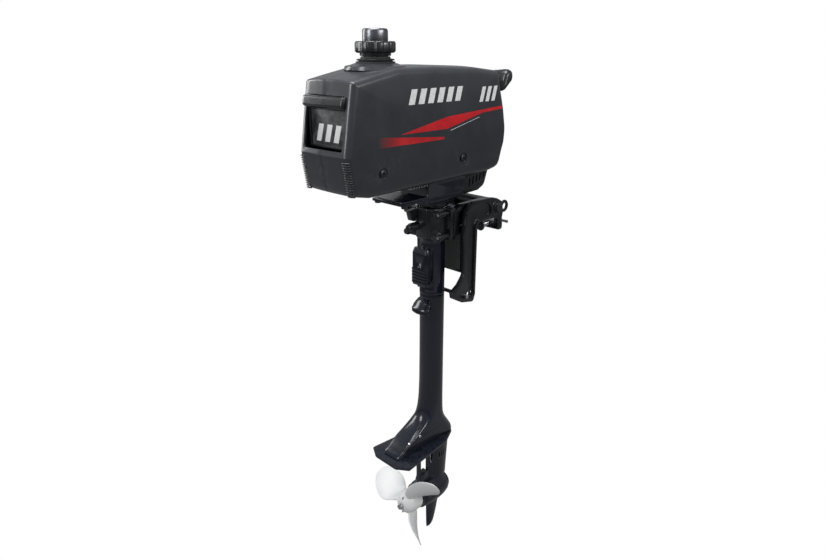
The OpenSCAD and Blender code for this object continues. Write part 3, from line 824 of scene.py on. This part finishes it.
def fuel_pieces():
    low, high = limits("fuel_cap")
    outline = lobed(26.6, 2.7, 8, 14)
    cap = Solid()
    rows = []
    for height, share in ((272.4, 0.9), (273.4, 0.95), (275, 1.0), (285.5, 1.0), (287.4, 0.97),
                          (288.2, 0.92)):
        rows.append([(cap_x + x * share, y * share, height) for x, y in outline])
    cap.loft(rows)
    recess = Solid().lathe([(19.9, 286.0), (20.3, 292)], "Z", (cap_x, 0, 0), 64)
    bore = Solid().lathe([(5.3, 260), (5.3, 290)], "Z", (cap_x, 0, 0), 24)
    cap.lathe([(14.2, 262.5), (14.4, 272.6)], "Z", (cap_x, 0, 0), 48)
    cap.lathe([(18.6, 268.4), (21.6, 268.4), (22.4, 269.2), (22.4, 272.8), (18.6, 272.8)], "Z",
              (cap_x, 0, 0), 64, ring=True)
    make("fuel_cap_collar", cap, "cap", "trim_black", ("fuel_cap",), [recess, bore], bevel=0.5, sharp=28)
    knob = Solid()
    knob.lathe([(17.2, 286.4), (18.4, 287.2), (18.3, 301.5), (17.6, 303.6), (16.2, 304.8), (14.2, 305.0)],
               "Z",
               (cap_x, 0, 0), 64)
    knob.lathe([(4.95, 264), (4.95, 286.6)], "Z", (cap_x, 0, 0), 24)
    dish = Solid().lathe([(12.5, 304.2), (13.4, 306)], "Z", (cap_x, 0, 0), 48)
    make("vent_cap", knob, "vent", "vent_metal", ("vent_knob",), [dish], bevel=0.4, sharp=30)
    grommet = Solid()
    profile = [(18.2, 250), (23.8, 250), (23.8, 258.6), (28.0, 258.9), (28.6, 259.8), (28.2, 260.8),
               (24.6, 261.4),
               (24.2, 262.0), (27.0, 262.4), (27.6, 263.2), (26.8, 264.2), (21.8, 265.0), (21.2, 267.6),
               (18.2, 268)]
    grommet.lathe(profile, "Z", (cap_x, 0, 0), 64, ring=True)
    make("neck_bellows", grommet, "motor", "rubber", ("neck_grommet",), bevel=0.35)


# ---------------------------------------------------------------- underside: tray and apron

def tray_and_apron():
    tray = Solid().prism(rounded([(-160, -36), (-90, -36), (-90, 36), (-160, 36)], [7, 0.1, 0.1, 7], 5),
                         "Z", 50.4, 54)
    tray.prism(rounded([(-156, -32), (-90, -32), (-90, 32), (-156, 32)], [7, 0.1, 0.1, 7], 5), "Z", 53, 56)
    tray.prism(rounded([(-99, -36), (-16, -36), (-16, 36), (-99, 36)], 4, 4), "Z", 46, 54)
    tray.prism(rounded([(-99, -34), (-10.3, -34), (-10.3, 34), (-99, 34)], [5, 0.5, 0.5, 5], 5), "Z", 53,
               78.4)
    well = Solid().prism(rounded([(-96, -31), (-8, -31), (-8, 31), (-96, 31)], [3, 0.1, 0.1, 3], 4), "Z",
                         62, 90)
    for x in (-150, -104):
        for y in (-30, 30):
            tray.lathe([(6.4, 49.4), (7.2, 53)], "Z", (x, y, 0), 24)
    for y in (-24, 0, 24):
        tray.block((-146, y - 1.5, 47.5), (-98, y + 1.5, 51), 0)
    bore = Solid().lathe([(16, 40), (16, 70)], "Z", (steer_x, 0, 0))
    make("engine_pan", tray, "motor", "leg_black", ("engine_tray",), [bore, well], bevel=0.7)
    bolts = Solid()
    for x in (-150, -104):
        for y in (-30, 30):
            hexagon = [(5.6 * cos(pi / 3 * k), 5.6 * sin(pi / 3 * k)) for k in range(6)]
            bolts.prism([(x + a, y + b) for a, b in hexagon], "Z", 45.6, 49.8)
    make("pan_bolts", bolts, "motor", "dark_fasteners", ("tray_bolts",), bevel=0.5)
    outline = rounded([(-10, 46), (30, 47.5), (46, 55), (56, 82), (52, 84), (-10, 82)],
                      [2, 10, 12, 3, 2, 2], 5)
    apron = Solid().prism(outline, "Y", -30, 30)
    hollow = Solid().prism([(-8, 50), (28, 51.5), (42, 58), (50, 79), (50, 90), (-8, 90)], "Y", -27.4, 27.4)
    slots = [hollow]
    for k in range(5):
        x = 3.5 + 9.4 * k
        z_low, z_high = 55.5 + 2.2 * k, 71 + 1.6 * k
        shape = rounded([(x, z_low), (x + 3.2, z_low + 1.6), (x + 5.0, z_high + 1.0), (x + 1.8, z_high)],
                        1.2, 3)
        slots.append(Solid().prism(shape, "Y", -34, 34))
    make("front_apron_shell", apron, "motor", "trim_black", ("front_apron",), slots, bevel=0.6)


# ---------------------------------------------------------------- swivel

def swivel_pieces():
    low, high = limits("swivel_cap")
    bottom, top = -25.0, 30.0
    octagon = [(-80.5, -12), (-73, -21.5), (-60, -29), (steer_x, -30), (steer_x, 30), (-60, 29),
               (-73, 21.5), (-80.5, 12)]
    outline = rounded(octagon, [5, 8, 8, 0.1, 0.1, 8, 8, 5], 4)
    cap = Solid()
    rows = []
    for z, share in ((bottom, 0.90), (bottom + 3, 0.985), (bottom + 5, 1.0), (top - 3, 1.0),
                     (top - 1, 0.985), (top, 0.95)):
        rows.append([(steer_x + (x - steer_x) * share, y * share, z) for x, y in outline])
    cap.loft(rows)
    for side in (-1, 1):
        for z in (-17, 22):
            cap.bar(6.4, "X", -78, -62, (side * 34, z), chamfer=1.0)
            web = rounded([(-77, side * 18), (-77, side * 34), (-64, side * 34), (-60, side * 18)], 2, 3)
            cap.prism(web, "Z", z - 5, z + 5)
    cap.bar(7.2, "X", -100, -76, (8, -2), chamfer=1.5)
    tab = rounded([(-79, 27), (-98, 24.5), (-93, 8), (-87, 6), (-76, 13)], 2.5, 4)
    cap.prism(tab, "Y", 9.5, 19)
    inner = Solid().lathe([(25, -40), (25, 40)], "Z", (steer_x, 0, 0), 64)
    make("collar_cap", cap, "swivel", "bracket_black", ("swivel_cap",), [inner], bevel=0.7)

    bolts = Solid()
    for side in (-1, 1):
        for z in (-17, 22):
            bolts.bar(3.0, "X", -78, -38, (side * 34, z))
            hexagon = [(side * 34 + 5.6 * cos(pi / 3 * k), z + 5.6 * sin(pi / 3 * k)) for k in range(6)]
            bolts.prism(hexagon, "X", -83.2, -79)
            bolts.bar(6.6, "X", -79.2, -78, (side * 34, z), chamfer=0.2)
    make("collar_bolts", bolts, "swivel", "dark_fasteners", ("swivel_bolts",), bevel=0.4)

    screw = Solid().bar(4, "X", -101, -77.6, (8, -2))
    screw.lathe([(3.6, -105), (5.2, -104.4), (5.6, -103), (5.6, -101.2), (4.8, -100)], "X", (0, 8, -2), 32)
    slot = Solid().block((-106, 7.3, -9), (-103.8, 8.7, 5))
    make("steering_friction_screw", screw, "friction", "dark_fasteners", ("friction_screw",), [slot],
         bevel=0.3)

    bracket = Solid()
    front_half = [(steer_x, -30), (-40, -28), (-30, -20), (-24, -8), (-24, 8), (-30, 20), (-40, 28),
                  (steer_x, 30)]
    bracket.prism(rounded(front_half, [0.1, 6, 6, 6, 6, 6, 6, 0.1], 4), "Z", bottom, top)
    flange = rounded([(steer_x + 1, -40), (-38, -40), (-38, 40), (steer_x + 1, 40)], 2, 3)
    bracket.prism(flange, "Z", bottom, top - 2)
    cheek = rounded([(-44, -18), (-44, 24), (-24, 32), (40, 32), (56, 30), (66, 18), (54, 3), (-10, 3),
                     (-24, -6), (-30, -18)],
                    [2, 6, 12, 10, 10, 10, 8, 10, 10, 3], 5)
    for side in (-1, 1):
        a, b = sorted((side * 30, side * 42))
        bracket.prism(cheek, "Y", a, b)
    bracket.bar(14, "Y", -arm_inner + 0.3, arm_inner - 0.3, (tilt_x, tilt_z), 48, 1.5)
    bracket.block((-30, -31, 12), (-20, 31, 27))
    bore = Solid().lathe([(25, -60), (25, 60)], "Z", (steer_x, 0, 0), 64)
    pin_bore = Solid().bar(5.05, "Y", -60, 60, (tilt_x, tilt_z), chamfer=0)
    pockets = []
    for side in (-1, 1):
        a, b = sorted((side * 38.5, side * 44))
        pockets.append(Solid().prism(rounded([(-34, -8), (-34, 20), (-20, 26), (30, 26), (34, 9), (-8, 9),
                                              (-22, 0)], 4, 4),
                                     "Y", a, b))
    make("swivel_casting", bracket, "swivel", "bracket_black", ("swivel_bracket",),
         [bore, pin_bore] + pockets, bevel=0.8)


# ---------------------------------------------------------------- clamp bracket

def clamp_arm_piece(side, name):
    outline = [(-33, 0), (-29, 24), (-16, 37), (30, 37), (50, 34), (66, 26), (71, 6), (67, -11), (60, -7),
               (48, 0), (7, 0), (0, -8), (0, -131), (-5, -144), (-36, -137), (-59, -124), (-62, -112),
               (-56, -110), (-44, -103), (-31, -88)]
    radii = [14, 12, 16, 30, 20, 8, 8, 1.5, 14, 10, 5, 5, 5, 6, 12, 4, 2, 5, 10, 14]
    outline = rounded(outline, radii, 6)
    low, high = sorted((side * arm_inner, side * arm_outer))
    arm = Solid().prism(outline, "Y", low, high)
    arm.bar(14, "Y", low - (0.8 if side < 0 else 0), high + (0.8 if side > 0 else 0), (tilt_x, tilt_z), 48,
            1.2)
    eye_low, eye_high = sorted((side * (arm_outer - 4.5), side * (arm_outer - 0.5)))
    arm.bar(11, "Y", eye_low, eye_high, (76, 15), 40, 1.2)
    boss_low, boss_high = sorted((side * 24, side * arm_outer))
    boss = Solid().prism(rounded([(56, clamp_z - 9), (70, clamp_z - 9), (70, clamp_z + 5),
                                  (56, clamp_z + 5)], 4, 4),
                         "Y", boss_low, boss_high)
    arm.add(*boss.shells[0])
    arm.prism([(56, clamp_z + 3), (68, clamp_z + 3), (67, 2), (56, 2)], "Y", low, high)
    outer_low, outer_high = sorted((side * (arm_outer - 3.6), side * (arm_outer + 3)))
    inner_low, inner_high = sorted((side * (arm_inner - 3), side * (arm_inner + 1.6)))
    pocket = rounded([(-26, 2), (-23, 22), (-13, 31), (26, 31), (36, 22), (38, 12), (34, 6), (4, 5.5),
                      (-6, -6),
                      (-5, -122), (-11, -134), (-33, -130), (-50, -120), (-40, -109), (-26, -92),
                      (-25, -60)],
                     [6, 8, 8, 8, 6, 5, 4, 10, 12, 6, 5, 6, 4, 6, 8, 8], 4)
    cuts = [
        Solid().prism(pocket, "Y", outer_low, outer_high),
        Solid().prism(inset(pocket, 1.0), "Y", inner_low, inner_high),
        Solid().bar(6.2, "Y", -70, 70, (76, 15), chamfer=0),
        Solid().bar(5.05, "X", 50, 80, (side * 33, clamp_z), chamfer=0),
        Solid().bar(5.0, "Y", -70, 70, (tilt_x, tilt_z), chamfer=0),
    ]
    for k in range(3):
        cuts.append(Solid().bar(3.6, "Y", -70, 70, (rod_x + 9.5 * k, rod_z + 1.5 * k), 24, chamfer=0))
    if side > 0:
        cuts.append(Solid().block((-75, side * 40, -150), (-31, side * 70, -88)))
    thing = make_object(f"clamp_casting_{name}", arm)
    carve(thing, *cuts)
    finish_piece(thing, "clamp", "bracket_black", M["bracket_black"], (f"clamp_arm_{name}",), bevel=1.1,
                 segments=3)


tiller_z = 105
clamp_z = middle("clamp_pad_port").z
rod_x = middle("thrust_rod").x
rod_z = middle("thrust_rod").z


def clamp_pieces():
    for side, name in ((-1, "starboard"), (1, "port")):
        clamp_arm_piece(side, name)
        y = side * 33
        pad_low, pad_high = limits(f"clamp_pad_{name}")
        pad = Solid().lathe([(9.6, pad_low.x), (10.5, pad_low.x + 0.8), (10.3, pad_low.x + 2.2),
                             (7, pad_high.x - 0.4),
                             (5, pad_high.x)], "X", (0, y, clamp_z), 40)
        make(f"pad_{name}", pad, f"pad_{name}", "steel", (f"clamp_pad_{name}",), bevel=0.2)
        screw = Solid()
        profile = []
        position = pad_high.x + 0.4
        while position < 81:
            profile += [(4.35, position), (4.95, position + 0.8), (4.95, position + 1.1)]
            position += 1.9
        profile += [(4.6, 81.5), (7.0, 82.2), (7.4, 84), (7.4, 91), (6.2, 93)]
        screw.lathe(profile, "X", (0, y, clamp_z), 28)
        bar = [(1.2, y - 22), (2.6, y - 21.4), (3.0, y - 20), (2.5, y - 18.2), (2.4, y + 18.2),
               (3.0, y + 20),
               (2.6, y + 21.4), (1.2, y + 22)]
        screw.lathe(bar, "Y", (88, 0, clamp_z), 20)
        make(f"screw_{name}", screw, f"screw_{name}", "steel", (f"clamp_screw_{name}",), bevel=0)
    plate = Solid().block((-4, -arm_inner, -98), (0, arm_inner, 1.5))
    for y in (-24, 24):
        plate.block((-5.4, y - 2, -92), (-3.6, y + 2, -6))
    make("transom_cross_plate", plate, "clamp", "bracket_black", ("transom_plate",), bevel=0.8)
    bolt = Solid().bar(4.98, "Y", -arm_outer - 0.5, arm_outer + 0.5, (tilt_x, tilt_z))
    for side in (-1, 1):
        a, b = sorted((side * (arm_outer + 0.6), side * (arm_outer + 2)))
        bolt.bar(9.0, "Y", a, b, (tilt_x, tilt_z), chamfer=0.3)
        hexagon = [(tilt_x + 8.6 * cos(pi / 3 * k + 0.3),
                    tilt_z + 8.6 * sin(pi / 3 * k + 0.3)) for k in range(6)]
        a, b = sorted((side * (arm_outer + 1.9), side * (arm_outer + 6)))
        bolt.prism(hexagon, "Y", a, b)
    make("tilt_pivot", bolt, "clamp", "dark_fasteners", ("tilt_bolt",), bevel=0.6)
    low, high = limits("thrust_rod")
    rod = Solid().lathe([(2.4, low.y), (3.5, low.y + 1.4), (3.5, high.y - 5.8), (5.4, high.y - 5.6),
                         (6, high.y - 4.6),
                         (6, high.y - 0.8), (5.2, high.y)], "Y", (rod_x, 0, rod_z), 32)
    make("tilt_rod", rod, "rod", "steel", ("thrust_rod",), bevel=0)


# ---------------------------------------------------------------- column and leg

def column_pieces():
    column = Solid()
    seam = column_low.z
    profile = [(16, 46), (28, 46), (28, 33.4), (25, 31.2), (column_r, 31), (column_r, -27),
               (column_r - 0.8, -29),
               (column_r - 0.8, -37), (column_r, -40), (column_r, seam + 9), (column_r + 0.5, seam + 8),
               (column_r + 0.5, seam + 1.2), (column_r - 0.6, seam + 0.6), (column_r - 0.8, seam),
               (16, seam)]
    column.lathe(profile, "Z", (steer_x, 0, 0), 72, ring=True)
    boss = rounded([(-77.5, -15), (-66, -16), (-66, 16), (-77.5, 15)], 2, 3)
    column.prism(boss, "Z", -104, -44)
    bore = Solid().lathe([(16, -140), (16, 60)], "Z", (steer_x, 0, 0), 48)
    make("upper_column", column, "motor", "leg_black", ("column",), [bore], bevel=0.4)

    cover = Solid()
    outline = rounded([(-86, -14.5), (-83, -18), (-76, -18), (-76, 18), (-83, 18), (-86, 14.5)],
                      [2, 3, 0.6, 0.6, 3, 2], 3)
    rows = []
    low, high = limits("relief_cover")
    for z, share, lean in ((low.z, 0.93, 0), (low.z + 2, 1, 0), (high.z - 9, 1, 0), (high.z - 7.5, 0.98, 0),
                           (high.z, 0.72, 4.5)):
        rows.append([(-76 + (x + 76) * (share if x < -76 else 1) + 0 * lean, y * (0.5 + share / 2),
                      z) for x, y in outline])
    cover.loft(rows)
    for k in range(5):
        z = low.z + 4 + 5.6 * k
        rib = rounded([(-87.4, -14.8), (-84, -19), (-76, -19), (-76, 19), (-84, 19), (-87.4, 14.8)],
                      [2, 3, 0.6, 0.6, 3, 2], 3)
        cover.prism(rib, "Z", z, z + 3.0)
    hole = Solid().lathe([(5.2, -90), (5.2, -84.6), (3.9, -84), (3.9, -70)], "X", (0, 0, -70), 28)
    make("relief_cover_cast", cover, "motor", "leg_black", ("relief_cover",), [hole], bevel=0.5)


def leg_ring(z, aft, fore, half, aft_round, fore_round):
    """Streamlined horizontal section of the leg."""
    corners = [(aft, -half), (fore, -half), (fore, half), (aft, half)]
    shape = []
    for (x, y), radius, start in ((corners[0], aft_round, 180), (corners[1], fore_round, 270),
                                  (corners[2], fore_round, 0), (corners[3], aft_round, 90)):
        cx = x + radius if x == aft else x - radius
        cy = y + radius if y < 0 else y - radius
        shape += arc((cx, cy), radius, start, start + 90, 9)
    return [(x, y, z) for x, y in shape]


LEG_AFT = [(-421, -158.5), (-415, -156), (-409, -146), (-402, -131), (-393, -116), (-386, -103),
           (-379, -91),
           (-368, -83), (-345, -77), (-307, -74.5), (-247, -73.8), (-128, -73.7)]
LEG_FORE = [(-421, -1.5), (-414, -3), (-404, -9), (-394, -18), (-385, -25), (-372, -28), (-340, -29.5),
            (-247, -30.2),
            (-128, -30.3)]
LEG_HALF = [(-421, 20.5), (-405, 20), (-380, 20.5), (-307, 21.5), (-247, 21.7), (-128, 21.7)]


def along(keys, z):
    """Straight interpolation along (z, value) keys."""
    for (z0, v0), (z1, v1) in zip(keys, keys[1:]):
        if z <= z1:
            t = (z - z0) / (z1 - z0)
            return v0 + (v1 - v0) * t
    return keys[-1][1]


def eased(keys, z, reach):
    """Interpolation along keys, averaged over a reach on both sides so that it turns smoothly."""
    low, high = keys[0][0], keys[-1][0]
    reach = min(reach, z - low, high - z)
    samples = [along(keys, z + reach * k / 4) for k in range(-4, 5)]
    return sum(samples) / len(samples)


def leg_pieces():
    leg = Solid()
    rings = []
    z = leg_low.z
    while z < leg_high.z - 0.1:
        aft = eased(LEG_AFT, z, 12)
        fore = eased(LEG_FORE, z, 14)
        half = eased(LEG_HALF, z, 20)
        squareness = max(0.0, min(1.0, (-372 - z) / 26))
        aft_round = half * (1 - 0.72 * squareness)
        rings.append(leg_ring(z, aft, fore, half, aft_round, half))
        z += 2.5 if z < -350 else 8
    rings.append(leg_ring(leg_high.z, -73.7, -30.3, 21.7, 21.7, 21.7))
    leg.loft(rings)
    bore = Solid().lathe([(12, -260), (12, -245), (16, -245), (16, -120)], "Z", (steer_x, 0, 0), 48)
    socket = Solid().lathe([(12, -430), (12, -250)], "Z", (steer_x, 0, 0), 48)
    spots = [(-102, -395), (-129, -399)]
    holes = [Solid().bar(3.8, "Y", -27, -19.2, spot, 24, 0.2) for spot in spots]
    make("lower_leg", leg, "motor", "leg_black", ("leg",), [bore, socket] + holes, bevel=0.5, sharp=50)

    lip = Solid()
    rows = []
    for k in range(19):
        turn = radians(143 + 73 * k / 18)
        fade = 1 - min(1.0, min(k, 18 - k) / 3)
        rim = 37.6 - 3.0 * fade ** 2
        low_z, high_z = -160 + 1.5 * fade ** 2, -151 - 1.5 * fade ** 2
        section = []
        for r, z in ((column_r - 0.5, -135), (24.5, -136.5), (28.5, -141), (33, -147),
                     (rim - 1.6, high_z + 1.6),
                     (rim, high_z - 0.6), (rim, low_z + 1.4), (rim - 1.4, low_z), (32.4, low_z),
                     (31.4, low_z + 1.4),
                     (30.5, -153), (26, -149.5), (column_r - 0.5, -149)):
            section.append((steer_x + r * cos(turn), r * sin(turn), z))
        rows.append(section)
    lip.loft(rows)
    make("leg_lip", lip, "motor", "leg_black", bevel=0.5, sharp=45)

    screws = Solid()
    for x, z in spots:
        screws.lathe([(2.0, -21.6), (2.9, -21.0), (3.2, -19.6), (3.2, -18.9), (2.0, -18.7), (2.0, -17.2)],
                     "Y", (x, 0, z), 24)
    screws.lathe([(1.6, -84.0), (3.0, -83.6), (3.4, -82.2), (3.4, -81)], "X", (0, 0, -70), 24)
    slots = [Solid().block((x - 2.2, -23, z - 0.4), (x + 2.2, -20.9, z + 0.4)) for x, z in spots]
    slots.append(Solid().block((-85, -2.2, -70.4), (-83.3, 2.2, -69.6)))
    make("casing_screws", screws, "motor", "bright_screws", ("housing_screws",), slots, bevel=0.15)


# ---------------------------------------------------------------- gearcase

def lens_ring(z, aft, fore, half, points=14):
    """Strut section with fine edges fore and aft."""
    upper = []
    for k in range(points + 1):
        t = k / points
        x = fore + (aft - fore) * t
        y = half * (sin(pi * min(1, t * 1.02)) ** 0.62 if 0 < t < 1 else 0.06)
        upper.append((x, max(y, 0.8)))
    return [(x, y, z) for x, y in upper] + [(x, -y, z) for x, y in upper[::-1]]


def gearcase_pieces():
    """Gearcase with its plate, strut, bullet, rear post and skeg, and the cap behind the bullet."""
    case = Solid()
    edge = rounded([(-158, 48), (-172, 26), (-173, -26), (-158, -48), (-45, -36), (-14, -21), (-1.5, -8),
                    (-1.5, 8), (-14, 21),
                    (-45, 36)], [3, 8, 8, 3, 30, 16, 7, 7, 16, 30], 5)
    foot = [(x * 0.84 - 11, y * 0.62) for x, y in edge]
    plate = [
        [(x, y, -429) for x, y in inset(edge, 2.5)], [(x, y, -428) for x, y in inset(edge, 0.6)],
        [(x, y, -426.4) for x, y in edge], [(x, y, -424.4) for x, y in edge],
        [(x, y, -423.2) for x, y in inset(edge, 0.9)],
        [(x, y, -421.4) for x, y in foot],
    ]
    case.loft(plate)
    strut = []
    for k in range(15):
        t = k / 14
        z = -427 - 96 * t
        strut.append(lens_ring(z, -63.5 - 0.5 * sin(pi * t), 1.5 - 11 * t, 12.0 + 3.0 * t * t))
    strut.append(lens_ring(-530, -63.5, -20, 14.6))
    strut.append(lens_ring(-540, -63.5, -32, 12))
    case.loft(strut)
    bullet = [(20.5, -88), (24.5, -86.5), (26.4, -80), (27, -66), (27, -46), (25.8, -34), (22.6, -22),
              (17.5, -13.5),
              (10.5, -9), (4, -8), (0.01, -8)]
    case.lathe(bullet, "X", (0, 0, prop_z), 56)
    post = rounded([(-87, -4.2), (-81.5, -5), (-81.5, 5), (-87, 4.2)], 2, 3)
    case.prism(post, "Z", -524, -426)
    web = rounded([(-86.6, -526), (-86.6, -512), (-82, -502), (-64, -498), (-60, -526)], 3, 4)
    case.prism(web, "Y", -6.5, 6.5)
    skeg = []
    for z, aft, fore, half in ((-566, -62, -25, 4.4), (-590, -62, -29, 3.8), (-612, -61.5, -34.5, 3.2),
                               (-628, -61, -39.5, 2.8),
                               (-637, -60.5, -43.5, 2.4), (-641, -60, -48, 1.8)):
        skeg.append(lens_ring(z, aft, fore, half))
    case.loft(skeg)
    cavity = Solid().lathe([(20, -95), (20, -15)], "X", (0, 0, prop_z), 48)
    passage = Solid().lathe([(8, -560), (8, -415)], "Z", (steer_x, 0, 0), 32)
    inlets = []
    for k in range(4):
        inlets.append(Solid().block((-40 + 7 * k, -20, -478), (-37.5 + 7 * k, -9.5, -466)))
    thing = make_object("gearcase_casting", case)
    carve(thing, cavity, passage, *inlets)
    finish_piece(thing, "motor", "leg_black", M["leg_black"], ("gearcase",), bevel=0.7, sharp=44)
    low, high = limits("gearcase_cap")
    cover = Solid().lathe([(5.2, low.x), (17, low.x), (23.4, low.x + 0.8), (25, low.x + 2.2),
                           (25, low.x + 4), (20, low.x + 4.2),
                           (20, high.x), (5.2, high.x)], "X", (0, 0, prop_z), 56, ring=True)
    make("gearcase_rear_cap", cover, "motor", "leg_black", ("gearcase_cap",), bevel=0.4)


# ---------------------------------------------------------------- propeller

BLADE_PITCH = 400.0
BLADE_ROOT_R = 19
LEAF_WIDEST_R = 56
LEAF_REACH = 36.8
LEAF_HALF = 30.5
ROOT_HALF = 13
HUB_R = 21.6
prop_tip = 92.6
prop_mid = (prop_low.x + prop_high.x) / 2 + 0.2


def blade_solid(turn):
    """One twisted blade with a rounded leaf outline and an aerofoil section."""
    radial, chord = 20, 16
    rings = []
    for i in range(radial + 1):
        t = i / radial
        r = BLADE_ROOT_R + (prop_tip - BLADE_ROOT_R) * (1 - (1 - t) ** 1.35)
        if r > LEAF_WIDEST_R:
            reach = (r - LEAF_WIDEST_R) / LEAF_REACH
            half = LEAF_HALF * max(0.0, 1 - abs(reach) ** 2.3) ** 0.5
        else:
            share = (r - BLADE_ROOT_R) / (LEAF_WIDEST_R - BLADE_ROOT_R)
            half = ROOT_HALF + (LEAF_HALF - ROOT_HALF) * sin(pi / 2 * share)
        half = max(half, 0.6)
        pitch = atan2(BLADE_PITCH, 2 * pi * max(r, 30))
        skew = 5.0 * ((r - BLADE_ROOT_R) / 74) ** 2
        thick = 5.2 * (1 - r / prop_tip) + 1.7
        ring = []
        for k in range(2 * chord):
            a = 2 * pi * k / (2 * chord)
            u = cos(a)
            w = 0.5 * thick * sin(a) * (1 - 0.25 * u)
            camber = 1.6 * (1 - u * u) * (half / 28)
            c = u * half + skew
            x = c * sin(pitch) - (w + camber) * cos(pitch)
            s = c * cos(pitch) + (w + camber) * sin(pitch)
            angle = s / r
            ring.append((x, r * sin(angle), -r * cos(angle)))
        rings.append(ring)
    spin = Matrix.Rotation(turn, 4, "X")
    rings = [[spin @ Vector(p) + Vector((prop_mid, 0, prop_z)) for p in ring] for ring in rings]
    return Solid().loft(rings)


def propeller_pieces():
    front, back = prop_high.x, prop_low.x
    hub = Solid()
    profile = [(5.2, -131.5), (9.5, -131.5), (11.2, -130.9), (15.2, -128), (19.2, -123.5), (21.2, -117),
               (HUB_R + 0.3, -108),
               (HUB_R, -97), (HUB_R - 1.4, -93.4), (19.5, -93), (5.2, -93)]
    hub.lathe(profile, "X", (0, 0, prop_z), 64, ring=True)
    thing = make_object("propeller_moulding", hub)
    for k in range(3):
        carve(thing, blade_solid(radians(120 * k - 21)), operation="UNION")
    cut = Solid().lathe([(1.7, prop_z - 40), (1.7, prop_z + 40)], "Z", (-128, 0, 0), 20)
    carve(thing, cut)
    finish_piece(thing, "prop", "prop_white", M["prop_white"], ("propeller",), bevel=0.5, sharp=40)
    pin = Solid()
    pin.bar(1.5, "Z", prop_z + 5, prop_z + 17.4, (-128, 0), 20, 0.4)
    pin.bar(1.5, "Z", prop_z - 17.4, prop_z - 5, (-128, 0), 20, 0.4)
    make("hub_pin", pin, "prop", "steel", ("shear_pin",), bevel=0)


# ---------------------------------------------------------------- controls

def control_pieces():
    sections = []
    outline = []
    for x, z in rounded([(63.6, 212), (70, 209.5), (92, 227), (94, 240), (84, 246.5), (74, 241)],
                        [4, 5, 10, 9, 10, 10], 6):
        outline.append((min(x, 93), min(z, 246)))
    centre = Vector((80, 0, 230))
    for y, share in ((-49, 0.45), (-48.2, 0.68), (-46, 0.88), (-42, 0.98), (-36, 1.0), (-22, 0.9),
                     (-10, 0.84), (0, 0.88),
                     (10, 0.84), (22, 0.9), (36, 1.0), (42, 0.98), (46, 0.88), (48.2, 0.68), (49, 0.45)):
        sections.append([(centre.x + (x - centre.x) * share, y, centre.z + (z - centre.z) * share) for x,
                         z in outline])
    hole = Solid().bar(2.5, "X", 55, 90, (0, 230), 20, 0)
    make("starter_handle", Solid().loft(sections), "grip", "trim_black", ("recoil_grip",), [hole],
         bevel=0.3, sharp=50)

    low, high = limits("tiller")
    tiller = Solid()
    x = 93
    tiller.bar(3.95, "Y", -16, 16, (x, tiller_z), 24)
    tiller.bar(8, "Y", -9.7, 9.7, (x, tiller_z), 40, 1.2)
    tiller.lathe([(7.4, tiller_z + 4), (8, tiller_z + 6), (8, 122), (7.6, 124.4)], "Z", (x, 0, 0), 40)
    grip = [(8.2, 123.5), (10.6, 124.5)]
    z = 128.0
    while z < 188:
        grip += [(10.9, z), (10.9, z + 3.2), (10.2, z + 3.8), (10.2, z + 4.8)]
        z += 5.6
    grip += [(10.9, 191), (10.9, 194), (9.6, 197), (6.0, 198)]
    tiller.lathe(grip, "Z", (x, 0, 0), 40)
    make("steering_handle", tiller, "tiller_arm", "trim_black", ("tiller",), bevel=0.25)

    bracket = Solid().prism([(66.6, 98), (82, 98), (82, 114), (71.7, 114)], "Y", -16, 16)
    for y in (-16, 10):
        ear = rounded([(78, 97), (100, 97), (100, 113), (78, 113)], [2, 7, 7, 2], 5)
        bracket.prism(ear, "Y", y, y + 6)
    bore = Solid().bar(4.0, "Y", -20, 20, (x, tiller_z), 32, 0)
    make("tiller_lug", bracket, "motor", "trim_black", ("tiller_bracket",), [bore], bevel=0.6)

    lever = Solid()
    lever.bar(4, "Y", 28, 36, (62, 116), 28)
    lever.prism(rounded([(60, 113), (86, 113.5), (86, 118.5), (60, 119)], 1.5, 3), "Y", 30, 34)
    lever.bar(5, "Y", 27, 37, (86, 116), 28, 1.5)
    make("throttle_arm", lever, "throttle", "trim_black", ("throttle_lever",), bevel=0.4)
    knob = Solid().lathe([(5.8, 60), (5.8, 79), (8.2, 79.4), (9, 80.6), (9, 86), (8, 87.6), (5, 88)], "X",
                         (0, 28, 165), 32)
    make("choke_pull_knob", knob, "choke", "trim_black", ("choke_knob",), bevel=0.2)
    button = Solid().lathe([(6.8, 62), (7, 63), (7, 80.4), (6.2, 81.7), (3, 82)], "X", (0, -28, 150), 32)
    make("stop_push_button", button, "stop", "stop_red", ("stop_button",), bevel=0.2)
    cock = Solid().bar(6, "Y", 46, 58.4, (-90, 130), 32)
    cock.prism(rounded([(-96, 126), (-92, 124.5), (-71, 127.5), (-69.5, 130), (-71, 132.5), (-92, 135.5),
                        (-96, 134)], 2, 3),
               "Y", 58, 62)
    make("fuel_cock_lever", cock, "cock", "trim_black", ("fuel_cock",), bevel=0.6)


def dress_remaining_nodes():
    """Gives every CAD node that still shows the material of its slot."""
    for entry in frame["record"]["subparts"]:
        thing = frame["nodes"][entry["node"]]
        thing.data.materials.clear()
        thing.data.materials.append(M[entry["material_slot"]])


add_camera()
add_studio()
dress_remaining_nodes()
cowl_pieces()
aft_window()
cowl_screw_heads()
fuel_pieces()
tray_and_apron()
swivel_pieces()
clamp_pieces()
column_pieces()
leg_pieces()
gearcase_pieces()
propeller_pieces()
control_pieces()
